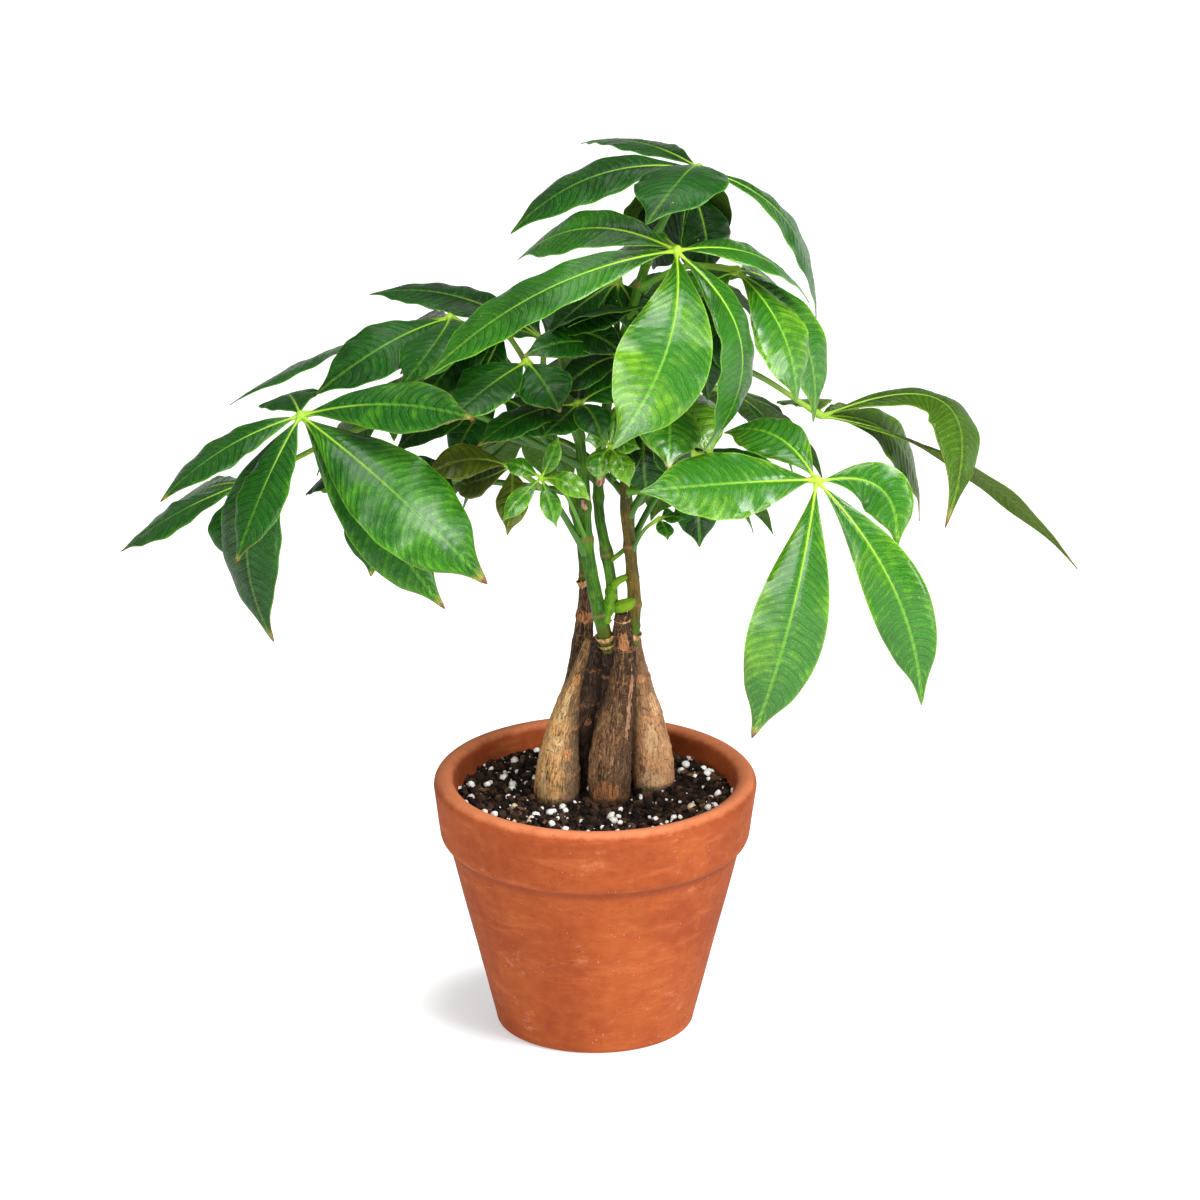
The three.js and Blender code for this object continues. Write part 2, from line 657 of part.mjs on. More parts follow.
function leafSolid(leaf, shoot) {
  return wasm.Manifold.union([
    bar(stalkPath(leaf, shoot), 5, 4),
    knob(leaf.hub, HUB_RADIUS * (leaf.slim ?? 1)),
    ...leaf.leaflets.map((leaflet) => blade(leaf, leaflet)),
  ]);
}

// ---------- assembly ----------

// What is left of a solid after the cuts: its largest body, without loose scraps.
function cutBy(solid, others) {
  const left = others.reduce((rest, other) => rest.subtract(other), solid);
  return left.decompose().reduce((best, body) => (body.volume() > best.volume() ? body : best));
}

function trunkBar(trunk, swell = 0) {
  return bar(trunk.path, 10, 8, swell);
}

function shootBar(shoot, swell = 0) {
  const stem = bar(shoot.path, 8, 8, swell);
  return shoot.name === SIDE_BUD.shoot ? stem.add(bar(SIDE_BUD.path, 8, 2, swell)) : stem;
}

const trunkCuts = TRUNKS.map((trunk) => trunkBar(trunk, GAP));
const trunkSolids = TRUNKS.map((trunk, i) => cutBy(trunkBar(trunk), trunkCuts.slice(0, i)));
const soilSolid = cutBy(wasm.Manifold.union([soilBody(), ...grains()]), trunkCuts);
const shootCuts = SHOOTS.map((shoot) => shootBar(shoot, GAP));
const shootSolids = SHOOTS.map((shoot, i) => {
  return cutBy(shootBar(shoot), [...trunkCuts, ...shootCuts.slice(0, i)]);
});

const tree = new THREE.Group();
tree.name = "potted_money_tree";
tree.add(meshFrom("pot", pot(), CLAY));
tree.add(meshFrom("soil", soilSolid, POTTING_MIX));
TRUNKS.forEach((trunk, i) => tree.add(meshFrom(trunk.name, trunkSolids[i], trunk.paint)));
SHOOTS.forEach((shoot, i) => tree.add(meshFrom(shoot.name, shootSolids[i], shoot.paint)));
for (const leaf of [...LEAVES, ...BACK_LEAVES.map(backLeaf)]) {
  const k = SHOOTS.findIndex((shoot) => shoot.name === leaf.shoot);
  const solid = cutBy(leafSolid(leaf, SHOOTS[k]), [shootCuts[k]]);
  tree.add(meshFrom(leaf.name, solid, leaf.paint));
}

export default tree;
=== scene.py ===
# %% [markdown]
# # A potted money tree
# A money tree is a handful of young trunks planted close together in one pot. Each trunk
# is thick at its foot and thin at its top, where green shoots carry long-stalked leaves,
# and each leaf is a hand of drooping leaflets. The solids of the plant arrive as a fixed
# frame, at their real size. This lesson puts the looks on that frame: fired clay, potting
# mix, bark, and leaves with their ribs and veins.

# %% Load the frame
import math
from contextlib import contextmanager
from dataclasses import dataclass

import bpy
import numpy as np
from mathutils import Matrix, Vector, noise


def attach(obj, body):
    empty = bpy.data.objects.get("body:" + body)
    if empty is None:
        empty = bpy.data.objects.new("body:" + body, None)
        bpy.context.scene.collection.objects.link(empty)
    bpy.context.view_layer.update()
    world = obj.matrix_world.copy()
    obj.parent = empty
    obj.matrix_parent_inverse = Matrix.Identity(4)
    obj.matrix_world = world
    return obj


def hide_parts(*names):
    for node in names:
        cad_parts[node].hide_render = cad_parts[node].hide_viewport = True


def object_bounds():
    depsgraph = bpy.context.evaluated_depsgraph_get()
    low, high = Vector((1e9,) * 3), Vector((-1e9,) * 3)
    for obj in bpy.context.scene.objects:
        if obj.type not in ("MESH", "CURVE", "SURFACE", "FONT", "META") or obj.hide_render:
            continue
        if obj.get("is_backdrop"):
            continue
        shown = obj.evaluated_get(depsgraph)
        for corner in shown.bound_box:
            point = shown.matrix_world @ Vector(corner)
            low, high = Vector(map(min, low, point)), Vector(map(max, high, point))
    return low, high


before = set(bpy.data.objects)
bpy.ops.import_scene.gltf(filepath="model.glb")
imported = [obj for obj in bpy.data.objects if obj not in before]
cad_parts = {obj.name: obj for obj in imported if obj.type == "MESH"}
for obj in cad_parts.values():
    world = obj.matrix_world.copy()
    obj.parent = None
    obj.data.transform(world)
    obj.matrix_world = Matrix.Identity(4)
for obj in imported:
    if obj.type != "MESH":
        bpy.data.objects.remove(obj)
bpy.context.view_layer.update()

MM = 0.001  # the plan of the plant is in millimetres, and Blender's unit is the metre

# %% [markdown]
# ## Camera, floor and light
# The plant stands on a plain pale floor in soft light from all round. It was looked at
# from a little above, from so far away that near and far leaves keep their sizes, so a
# long lens from ten metres fits better than a short one from close by. A large lamp from
# the upper right adds soft highlights on the leaves and a faint shadow on the left. The
# floor glows, as a lit table does, so it is white, but close round the pot it glows less
# and reflects more: a painted shade that deepens the real shadow there.

# %% Camera
VIEW_DROP = math.radians(22)  # how far the view looks down
VIEW_DISTANCE = 10.0
VIEW_WIDTH = 0.563  # metres across the picture at the pot's axis
AIM = Vector((0.0023, 0, 0.2123))  # the point in the middle of the picture
SENSOR = 36

towards = Vector((0, math.cos(VIEW_DROP), -math.sin(VIEW_DROP)))
tilt = (math.pi / 2 - VIEW_DROP, 0, 0)
bpy.ops.object.camera_add(location=AIM - towards * VIEW_DISTANCE, rotation=tilt)
camera = bpy.context.object
camera.data.sensor_width = SENSOR
camera.data.lens = SENSOR * VIEW_DISTANCE / VIEW_WIDTH
camera.data.clip_end = 100
bpy.context.scene.camera = camera
print("the lens is", round(camera.data.lens), "mm")

# %% Lamps
LAMPS = {  # each lamp's place and size in metres, and its power in watts
    "key": ((1.15, -1.1, 1.7), 0.8, 46), "front": ((-0.6, -2.0, 0.6), 1.0, 27),
    "side": ((1.9, -0.7, 0.5), 0.8, 19), "top": ((-0.1, -0.5, 2.0), 0.9, 22),
    "back": ((-0.2, 0.95, 1.9), 0.9, 8),
}
for name, (place, size, power) in LAMPS.items():
    bpy.ops.object.light_add(type="AREA", location=place)
    lamp = bpy.context.object
    lamp.name = name
    lamp.data.size = size
    lamp.data.energy = power
    lamp.rotation_euler = (AIM - Vector(place)).to_track_quat("-Z", "Y").to_euler()
print(len(LAMPS), "lamps look at the middle of the plant")

# %% Surroundings
SKY_STRENGTH = 0.15
FLOOR_WIDTH = 30

world = bpy.data.worlds.new("studio")
world.use_nodes = True
sky = world.node_tree.nodes["Background"].inputs
sky["Color"].default_value = (1, 1, 1, 1)
sky["Strength"].default_value = SKY_STRENGTH
bpy.context.scene.world = world
bpy.context.scene.view_settings.view_transform = "Standard"

bpy.ops.mesh.primitive_plane_add(size=FLOOR_WIDTH, location=(0, 0, 0))
floor = bpy.context.object
floor.name = "floor"
floor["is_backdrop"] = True
print("the floor is", floor.dimensions.x, "metres wide, under an even white sky")

# %% [markdown]
# ## A few habits
# Blender's operators act on whatever is selected, so each step first selects the one
# piece it means. Small helpers keep that habit: they select, go in and out of edit mode,
# or add a modifier and apply it. Others read and write all of a piece's points at once,
# and `keep` finishes a piece and ties it to the frame.

# %% Selecting and editing


def select_only(*pieces):
    """Selects these pieces and nothing else, and makes the first the active one."""
    bpy.ops.object.select_all(action="DESELECT")
    for piece in pieces:
        piece.select_set(True)
    bpy.context.view_layer.objects.active = pieces[0] if pieces else None


def started(add, **settings):
    """A new primitive from one of the operators that add them."""
    select_only()
    add(**settings)
    return bpy.context.object


@contextmanager
def editing(piece):
    """Edit mode on one piece, with all of it selected."""
    select_only(piece)
    bpy.ops.object.mode_set(mode="EDIT")
    bpy.ops.mesh.select_all(action="SELECT")
    yield
    bpy.ops.object.mode_set(mode="OBJECT")


def pick(piece, kind, test):
    """In edit mode, selects only the edges or the faces that pass a test."""
    bpy.ops.mesh.select_mode(type=kind)
    bpy.ops.mesh.select_all(action="DESELECT")
    bpy.ops.object.mode_set(mode="OBJECT")
    for part in piece.data.edges if kind == "EDGE" else piece.data.polygons:
        part.select = test(part)
    bpy.ops.object.mode_set(mode="EDIT")


def apply_modifier(piece, kind, **settings):
    """Adds a modifier to a piece and applies it."""
    select_only(piece)
    bpy.ops.object.modifier_add(type=kind)
    modifier = piece.modifiers[-1]
    for setting, value in settings.items():
        setattr(modifier, setting, value)
    bpy.ops.object.modifier_apply(modifier=modifier.name)


select_only()
print("objects selected now:", len(bpy.context.selected_objects))

# %% Points and pieces


def points_of(piece):
    """A piece's points as an array of three columns, in millimetres."""
    flat = np.empty(len(piece.data.vertices) * 3)
    piece.data.vertices.foreach_get("co", flat)
    return flat.reshape(-1, 3) / MM


def set_points(piece, points):
    """Moves a piece's points to new places, given in millimetres."""
    piece.data.vertices.foreach_set("co", (np.asarray(points) * MM).ravel())
    piece.data.update()


def set_marks(piece, name, *columns):
    """Writes three numbers for each point, which a finish can read back under that name."""
    marks = piece.data.attributes.new(name, "FLOAT_VECTOR", "POINT")
    rows = np.column_stack(np.broadcast_arrays(*columns))
    marks.data.foreach_set("vector", rows.astype(np.float32).ravel())


def built(name, points, edges=(), faces=()):
    """A new piece from points in millimetres and the edges or faces between them."""
    mesh = bpy.data.meshes.new(name)
    mesh.from_pydata((np.asarray(points) * MM).tolist(), edges, faces)
    piece = bpy.data.objects.new(name, mesh)
    bpy.context.collection.objects.link(piece)
    return piece


def copy_of(blank):
    """A copy of a blank with a mesh of its own."""
    piece = blank.copy()
    piece.data = blank.data.copy()
    piece.hide_render = False
    bpy.context.collection.objects.link(piece)
    return piece


def joined(pieces):
    """Several pieces made one."""
    select_only(*pieces)
    bpy.ops.object.join()
    return pieces[0]


print("the floor runs from", points_of(floor).min(), "to", points_of(floor).max(), "mm")

# %% Keeping a piece
made = {}


def keep(piece, name, finish, slot, *nodes, smooth=60):
    """Names a finished piece, smooths and colours it, and ties it to the frame."""
    select_only(piece)
    bpy.ops.object.transform_apply(location=True, rotation=True, scale=True)
    bpy.ops.object.shade_smooth_by_angle(angle=math.radians(smooth))
    piece.name = name
    piece.data.name = name
    piece.data.materials.clear()
    piece.data.materials.append(finish.material)
    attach(piece, "root")
    if nodes:
        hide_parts(*nodes)
    made[name] = sum(len(face.vertices) - 2 for face in piece.data.polygons)


print(len(made), "pieces kept so far")

# %% [markdown]
# ## Finishes as sums
# A finish is a small calculation that runs at each point of a surface: how far is it
# from the rib, how rough, how green. Written as ordinary sums it stays readable, so a
# wire between two nodes is wrapped in a class whose plus, minus and times add the Math
# node that does it. Every other kind of node comes from one method.

# %% A wire


class Wire:
    """A value that flows between nodes. A sum or a product of wires adds its Math node."""

    def __init__(self, finish, socket):
        self.finish = finish
        self.socket = socket

    def math(self, operation, *values):
        inputs = dict(enumerate((self, *values)))
        return self.finish.node("ShaderNodeMath", {"operation": operation}, inputs)

    def __add__(self, value):
        return self.math("ADD", value)

    def __sub__(self, value):
        return self.math("SUBTRACT", value)

    def __rsub__(self, value):
        return self.finish.node("ShaderNodeMath", {"operation": "SUBTRACT"}, {0: value, 1: self})

    def __mul__(self, value):
        return self.math("MULTIPLY", value)

    def __truediv__(self, value):
        return self.math("DIVIDE", value)

    def __pow__(self, value):
        return self.math("POWER", value)

    __radd__ = __add__
    __rmul__ = __mul__

    def ease(self, start, end):
        """0 before start, 1 after end, and smooth between; start may be the larger one."""
        limits = {0: self, 1: start, 2: end, 3: 0, 4: 1}
        return self.finish.node("ShaderNodeMapRange", {"interpolation_type": "SMOOTHSTEP"}, limits)


def colour(red, green, blue):
    """A colour as the screen shows it, from 0 to 255, in the linear values that light adds up in."""
    shares = [value / 255 for value in (red, green, blue)]
    return (*[s / 12.92 if s <= 0.04045 else ((s + 0.055) / 1.055) ** 2.4 for s in shares], 1)


print("a screen's middle grey is", round(colour(128, 128, 128)[0], 2), "in linear values")

# %% A finish


class Finish:
    """A procedural material: one Principled shader and the nodes that feed it."""

    def __init__(self, name, **constants):
        self.material = bpy.data.materials.new(name)
        self.material.use_nodes = True
        self.tree = self.material.node_tree
        self.shader = self.tree.nodes["Principled BSDF"]
        self.feed(**constants)

    def node(self, kind, settings=None, inputs=None, output=0):
        """Adds a node, sets it, fills its sockets with values or wires, and gives its output."""
        node = self.tree.nodes.new(kind)
        for setting, value in (settings or {}).items():
            setattr(node, setting, value)
        for key, value in (inputs or {}).items():
            self.plug(value, node.inputs[key])
        return Wire(self, node.outputs[output])

    def plug(self, value, socket):
        if isinstance(value, Wire):
            self.tree.links.new(value.socket, socket)
        else:
            socket.default_value = value

    def feed(self, **sockets):
        """Gives values or wires to the shader's own sockets."""
        for name, value in sockets.items():
            self.plug(value, self.shader.inputs[name.replace("_", " ")])

    def stretched(self, place, stretch):
        return self.node("ShaderNodeMapping", None, {"Vector": place, "Scale": stretch})

    def spot(self, *stretch):
        """The place on the object, stretched along its axes."""
        place = self.node("ShaderNodeTexCoord", output="Object")
        return self.stretched(place, stretch or (1, 1, 1))

    def carried(self, name):
        return self.node("ShaderNodeAttribute", {"attribute_name": name}, output="Vector")

    def grain(self, *stretch, name="grain"):
        """The unrolled place that a piece carries on its points, in metres and stretched."""
        return self.stretched(self.carried(name), [MM * share for share in stretch])

    def parts(self, vector):
        """The three numbers of a vector."""
        return [self.node("ShaderNodeSeparateXYZ", None, {0: vector}, output=i) for i in range(3)]

    def marks(self, name):
        """The three numbers that a piece carries under that name."""
        return self.parts(self.carried(name))

    def height(self):
        """The height on the object, in millimetres."""
        return self.parts(self.spot())[2] / MM

    def cloud(self, size, spot=None, detail=3, roughness=0.55):
        """Soft noise from 0 to 1, whose spots are about that many millimetres across."""
        inputs = {"Scale": 1 / (size * MM), "Detail": detail, "Roughness": roughness}
        return self.node("ShaderNodeTexNoise", None, {"Vector": spot or self.spot(), **inputs})

    def cells(self, size, spot=None, feature="F1"):
        """Cells of about that many millimetres, as the distance from their middle or edge."""
        inputs = {"Vector": spot or self.spot(), "Scale": 1 / (size * MM)}
        return self.node("ShaderNodeTexVoronoi", {"feature": feature}, inputs, output="Distance")

    def mix(self, first, second, share):
        """Two colours mixed. Each is a wire, three numbers from 0 to 255 or four linear ones."""
        first, second = (c if isinstance(c, Wire) or len(c) == 4 else colour(*c) for c in (first, second))
        return self.node("ShaderNodeMix", {"data_type": "RGBA"}, {0: share, 6: first, 7: second}, output=2)

    def layers(self, tint, *coats):
        """A colour with coats over it, each a colour and the share of it that covers."""
        for coat, share in coats:
            tint = self.mix(tint, coat, share)
        return tint

    def bump(self, height, depth):
        """A normal that is tilted as if the surface rose by height times depth millimetres."""
        return self.node("ShaderNodeBump", None, {"Height": height, "Distance": depth * MM}, "Normal")


print("a finish offers", ", ".join(name for name in vars(Finish) if "_" not in name))

# %% The floor's finish
SHADE_MIDDLE = (-0.02, 0.01)  # where the shade by the pot is deepest, in metres
SHADE_REACH = 0.074
SHADE_CORE = 0.042
FLOOR_BASE = (0.3, 0.3, 0.3, 1)
FLOOR_GLOW = (1, 1, 1, 1)
SHADED_BASE = (0.6, 0.63, 0.65, 1)
SHADED_GLOW = (0.4, 0.4, 0.4, 1)

bright_floor = Finish("pale_floor", Roughness=0.7, Specular_IOR_Level=0.1, Emission_Strength=1)
x, y = bright_floor.parts(bright_floor.spot())[:2]
distance = (x - SHADE_MIDDLE[0]) ** 2 + (y - SHADE_MIDDLE[1]) ** 2
# Painted shade: close round the pot the floor glows less and reflects more, deepening the real shadow there.
near = distance.ease(SHADE_REACH ** 2, SHADE_CORE ** 2)
bright_floor.feed(Base_Color=bright_floor.mix(FLOOR_BASE, SHADED_BASE, near),
                  Emission_Color=bright_floor.mix(FLOOR_GLOW, SHADED_GLOW, near))
floor.data.materials.append(bright_floor.material)
print("the shade round the pot ends", round(SHADE_REACH / MM), "mm from its middle")

# %% [markdown]
# ## The pot
# The pot is thrown or pressed round an axis: a tapered body, a band of a rim that stands
# proud of it, a rounded lip and a drain hole. Turning a profile about the axis with the
# spin operator makes all of it at once, and closed. The profile is worked out from the
# same few sizes as the solid's. Hand-made clay isn't perfect, so soft noise then moves
# the wall by a tenth of a millimetre or two.

# %% The pot's sizes and profile
POT_HEIGHT = 124
RIM_RADIUS = 76
RIM_FOOT = POT_HEIGHT - 33  # the height where the rim's band starts
BAND_FOOT = RIM_RADIUS - 3  # the band's radius there, before its edge is rounded
BAND_EDGE = 6
LIP = 5  # the radius of the rounded lip
LIP_FOOT = POT_HEIGHT - LIP
BASE_RADIUS = 46.5
NECK_RADIUS = 68.8
FLOOR = 9
FLOOR_RADIUS = 39
CORNER = 3  # the rounding at the pot's foot and in the corner inside
DRAIN_RADIUS = 6.5
DRAIN_EDGE = 1


def arc(x, z, radius, start, end, steps):
    """Points on an arc, its angles in degrees."""
    angles = np.radians(np.linspace(start, end, steps + 1))
    return [(x + radius * math.cos(a), z + radius * math.sin(a)) for a in angles]


def line(start, end, steps):
    """Points on a straight line, without its ends."""
    ways = range(1, steps)
    return [tuple(np.interp(i / steps, [0, 1], pair) for pair in zip(start, end)) for i in ways]


outside = [
    *arc(DRAIN_RADIUS + DRAIN_EDGE, DRAIN_EDGE, DRAIN_EDGE, 180, 270, 4),
    *line((DRAIN_RADIUS + DRAIN_EDGE, 0), (BASE_RADIUS - CORNER, 0), 8),
    *arc(BASE_RADIUS - CORNER, CORNER, CORNER, -90, -10, 6),
    *line((BASE_RADIUS, CORNER), (NECK_RADIUS - 0.3, RIM_FOOT - 1.2), 24),
    (NECK_RADIUS - 0.25, RIM_FOOT - 0.6),
    (NECK_RADIUS + 0.2, RIM_FOOT + 0.1),
    *arc(BAND_FOOT - BAND_EDGE, RIM_FOOT + BAND_EDGE, BAND_EDGE, -62, -4, 9),
    *line((BAND_FOOT, RIM_FOOT + BAND_EDGE), (RIM_RADIUS, LIP_FOOT), 10),
    *arc(RIM_RADIUS - LIP, LIP_FOOT, LIP, 0, 180, 14),
]
inside = [
    *line((RIM_RADIUS - 2 * LIP, LIP_FOOT), (FLOOR_RADIUS, FLOOR), 16)[:-1],
    *arc(FLOOR_RADIUS - CORNER, FLOOR + CORNER, CORNER, 0, -90, 4),
    (DRAIN_RADIUS + DRAIN_EDGE, FLOOR),
    (DRAIN_RADIUS, FLOOR - DRAIN_EDGE),
]
print("the profile has", len(outside), "points outside and", len(inside), "inside")

# %% Turn the pot
POT_STEPS = 144
DRIFT = 0.16  # how far the wall strays, in millimetres


def turned(name, profile, steps):
    """A profile of (radius, height) pairs turned about the axis."""
    edges = [(i, i + 1) for i in range(len(profile) - 1)]
    piece = built(name, [(x, 0, z) for x, z in profile], edges)
    with editing(piece):
        bpy.ops.mesh.spin(steps=steps, angle=2 * math.pi, center=(0, 0, 0), axis=(0, 0, 1))
        bpy.ops.mesh.select_all(action="SELECT")
        bpy.ops.mesh.remove_doubles(threshold=0.01 * MM)
        bpy.ops.mesh.normals_make_consistent(inside=False)
    return piece


def noise_at(points, size, seed=0):
    """Soft noise from about -1 to 1 at each point, with lumps of about that size."""
    return np.array([noise.noise(Vector(p) / size + Vector((seed, 0, 0))) for p in points])


pot = turned("pot_clay", [*outside, *inside, outside[0]], POT_STEPS)
places = points_of(pot)
reach = np.hypot(places[:, 0], places[:, 1])
stray = (noise_at(places, 26) + 0.35 * noise_at(places, 7)) * (places[:, 2] > 2)
places[:, :2] *= (1 + DRIFT * stray / reach)[:, None]
set_points(pot, places)
print("the pot has", len(pot.data.polygons), "faces")

# %% [markdown]
# ## Fired clay
# Terracotta is matte and never one orange. It is paler where salts have dried on it,
# darker where it is damp, and it carries faint rings from turning, pale scratches and dark
# specks. All of it comes from noise in the object's own place. Rings are noise stretched so
# far round the axis that only its height matters. A paler lip is a painted highlight, and a
# darker crease under the rim's band a painted shade.

# %% The clay's finish
clay = Finish("terracotta", Specular_IOR_Level=0.25)
blotch = clay.cloud(46)
mottle = clay.cloud(7, detail=6, roughness=0.68)
rings = clay.cloud(2.2, clay.spot(0.06, 0.06, 1), 5, 0.75)
smears = clay.cloud(7, clay.spot(0.22, 0.22, 1), 5, 0.7)
salt = clay.cloud(13, clay.spot(0.6, 0.6, 1), 7, 0.76).ease(0.58, 0.7)
height = clay.height()
# Painted highlight: the lip is paler, as where light catches its top.
lip = (height + mottle * 3 - 1.5).ease(POT_HEIGHT - 3.2, POT_HEIGHT - 0.2)
# Painted shade: the clay is darker in the crease under the rim's band.
crease = height.ease(RIM_FOOT - 5, RIM_FOOT - 1) * height.ease(RIM_FOOT + 2, RIM_FOOT)
scratches = clay.cloud(0.7, clay.spot(0.09, 0.09, 1)).ease(0.69, 0.76) * clay.cloud(11).ease(0.5, 0.64)
specks = clay.cells(2.4).ease(0.15, 0.07) * clay.cloud(12).ease(0.42, 0.6)
dust = clay.cells(3.1, clay.spot(1.3, 1.3, 0.8)).ease(0.12, 0.05) * clay.cloud(15).ease(0.5, 0.62)
grit = clay.cloud(0.7, detail=4)
body = clay.layers(
    clay.mix((136, 58, 22), (160, 78, 33), (blotch * 0.55 + mottle * 0.45).ease(0.34, 0.66)),
    ((198, 112, 62), smears.ease(0.5, 0.76) * 0.34),
    ((160, 70, 34), rings.ease(0.5, 0.3) * 0.22),
    ((222, 156, 122), salt * 0.22),
    ((232, 142, 98), lip * 0.6),
    ((112, 48, 24), crease * 0.5),
    ((226, 172, 138), scratches * 0.6),
    ((104, 48, 28), specks * 0.6),
    ((240, 196, 168), dust * 0.55),
)
relief = rings * 0.7 + grit * 0.4 + smears * 0.5 + mottle * 0.6 - specks * 0.8 - scratches * 0.5
clay.feed(Base_Color=body, Roughness=0.78 + grit * 0.14, Normal=clay.bump(relief, 0.42))
keep(pot, "pot_clay", clay, "terracotta", "pot")
print("pot_clay:", made["pot_clay"], "triangles")

# %% [markdown]
# ## The potting mix
# Potting mix is near-black peat in crumbs, with white grains of perlite that float up
# when it is watered, and a few chips of bark. The bed is turned like the pot and
# roughened by noise. A crumb, a grain and a chip are each modelled once, with only a few
# faces, and strewn in many sizes and turns from a seeded draw, so every run strews them
# alike.

# %% The bed
SOIL_TOP = 113
SOIL_WAVE = 0.66  # how high its waves are
SOIL_FALL = 2  # how much lower it lies at the wall
SOIL_EDGE = SOIL_TOP - SOIL_FALL
FOOT_HEIGHT = FLOOR + 0.4
BED_STEPS = 132


def eased(value, start, end):
    """0 before start, 1 after end and smooth between, for arrays."""
    share = np.clip((np.asarray(value, float) - start) / (end - start), 0, 1)
    return share * share * (3 - 2 * share)


def soil_height(x, y):
    """The height of the bed: a slow and a quick wave, and a fall towards the wall."""
    slow = np.sin(x * 0.21 + 0.6) * np.cos(y * 0.17 - 0.4)
    quick = np.sin(x * 0.53 - y * 0.31) * np.sin(y * 0.47 + x * 0.19)
    return SOIL_TOP + SOIL_WAVE * (slow + quick) - SOIL_FALL * eased(np.hypot(x, y), 59, 68)


def wall_inside(z):
    """The radius of the pot's inside at a height."""
    return np.interp(z, [FLOOR, LIP_FOOT], [FLOOR_RADIUS, RIM_RADIUS - 2 * LIP])


rim_point = (wall_inside(SOIL_EDGE) - 0.5, SOIL_EDGE)
bed = turned("soil_bed", [
    (0, SOIL_TOP), *line((0, SOIL_TOP), rim_point, 44), rim_point,
    (wall_inside(SOIL_EDGE / 2) - 0.7, SOIL_EDGE / 2),
    (FLOOR_RADIUS - 0.35, FOOT_HEIGHT + 3), (FLOOR_RADIUS - 4, FOOT_HEIGHT), (0, FOOT_HEIGHT),
], BED_STEPS)
places = points_of(bed)
top = places[:, 2] > SOIL_EDGE - 1
lumps = 0.55 * noise_at(places[top], 5) + 0.5 * noise_at(places[top], 1.9, 4)
places[top, 2] = soil_height(places[top, 0], places[top, 1]) + lumps
set_points(bed, places)
print("the bed has", len(bed.data.polygons), "faces")

# %% One crumb, one grain, one chip


def taken(piece):
    """A blank's points and faces, after which the blank is removed."""
    points = points_of(piece)
    faces = np.array([list(face.vertices) for face in piece.data.polygons])
    bpy.data.objects.remove(piece)
    return points, faces


def crumb():
    return taken(started(bpy.ops.mesh.primitive_ico_sphere_add, subdivisions=1, radius=MM))


def block(cuts, roundness=0):
    """A cube in triangles, its sides cut so many times, and pulled towards a ball."""
    piece = started(bpy.ops.mesh.primitive_cube_add, size=2 * MM)
    with editing(piece):
        bpy.ops.mesh.subdivide(number_cuts=cuts)
        if roundness:
            bpy.ops.transform.tosphere(value=roundness)
        bpy.ops.mesh.quads_convert_to_tris()
    return taken(piece)


print("a crumb has", len(crumb()[1]), "faces, and a grain", len(block(1, 0.9)[1]))

# %% Strewing
SOIL_REACH = 66  # how far from the axis crumbs lie

strew = np.random.default_rng(31)


def turn_about(axis, angle):
    """A turn about the x, the y or the z axis, which are 0, 1 and 2."""
    i, j = (axis + 1) % 3, (axis + 2) % 3
    turn = np.eye(3)
    turn[i, i] = turn[j, j] = math.cos(angle)
    turn[j, i] = math.sin(angle)
    turn[i, j] = -turn[j, i]
    return turn


def random_turn(tip):
    """A random turn: any way round, and tipped by up to so many degrees."""
    first, last = strew.uniform(0, 2 * math.pi, 2)
    tipped = turn_about(0, math.radians(strew.uniform(-tip, tip)))
    return turn_about(2, first) @ tipped @ turn_about(2, last)


def spots_on_soil(count, lift):
    """Places spread over the bed, a little above its surface."""
    reach = SOIL_REACH * np.sqrt(strew.random(count))
    turn = strew.uniform(0, 2 * math.pi, count)
    x, y = reach * np.cos(turn), reach * np.sin(turn)
    return np.column_stack([x, y, soil_height(x, y) + lift])


def strewn(name, blank, sizes, lift, roughness, tip=90):
    """One piece of many copies, each with its own place, size, turn, lumps and tone."""
    points, faces = blank
    count = len(lift)
    sizes = np.column_stack(sizes)
    spots = spots_on_soil(count, lift)
    shapes = points[None] * sizes[:, None, :]
    shapes *= 1 + roughness * strew.uniform(-1, 1, (count, len(points), 1))
    turns = np.array([random_turn(tip) for _ in range(count)])
    shapes = np.einsum("nij,nvj->nvi", turns, shapes) + spots[:, None, :]
    firsts = np.arange(count)[:, None, None] * len(points)
    piece = built(name, shapes.reshape(-1, 3), faces=(faces[None] + firsts).reshape(-1, 3).tolist())
    tone, other = (np.repeat(strew.random(count), len(points)) for _ in range(2))
    set_marks(piece, "tone", tone, other, 0)
    return piece


def spread(low, high, count, bias=2.2):
    """Sizes between two limits, more of them small."""
    return low + (high - low) * strew.random(count) ** bias


size = spread(0.6, 2.7, 3000)
sizes = [size, size * strew.uniform(0.7, 1, len(size)), size * 0.75]
crumbs = strewn("soil_crumbs", crumb(), sizes, size * 0.25, 0.24)
size = spread(0.3, 1.65, 480, 3.2)
sizes = [size, size * strew.uniform(0.75, 1, len(size)), size * 0.8]
grains = strewn("perlite_grains", block(1, 0.9), sizes, 0.5 + size * 0.6, 0.12)
size = spread(1.2, 4.2, 120)
sizes = [size, 0.35 + size * 0.2, 0.25 + size * 0.08]
chips = strewn("bark_chips", block(2), sizes, 1.1 + 0 * size, 0.2, tip=24)
print("faces strewn:", [len(piece.data.polygons) for piece in (crumbs, grains, chips)])

# %% Finishes of the mix
peat = Finish("peat", Roughness=0.95, Specular_IOR_Level=0.2)
clods = peat.cloud(3.2, detail=6, roughness=0.7)
peat.feed(Base_Color=peat.mix((13, 8, 6), (62, 44, 34), clods.ease(0.36, 0.68)),
          Normal=peat.bump(clods + peat.cloud(0.6) * 0.4, 1.1))
keep(bed, "soil_bed", peat, "potting_mix", "soil")

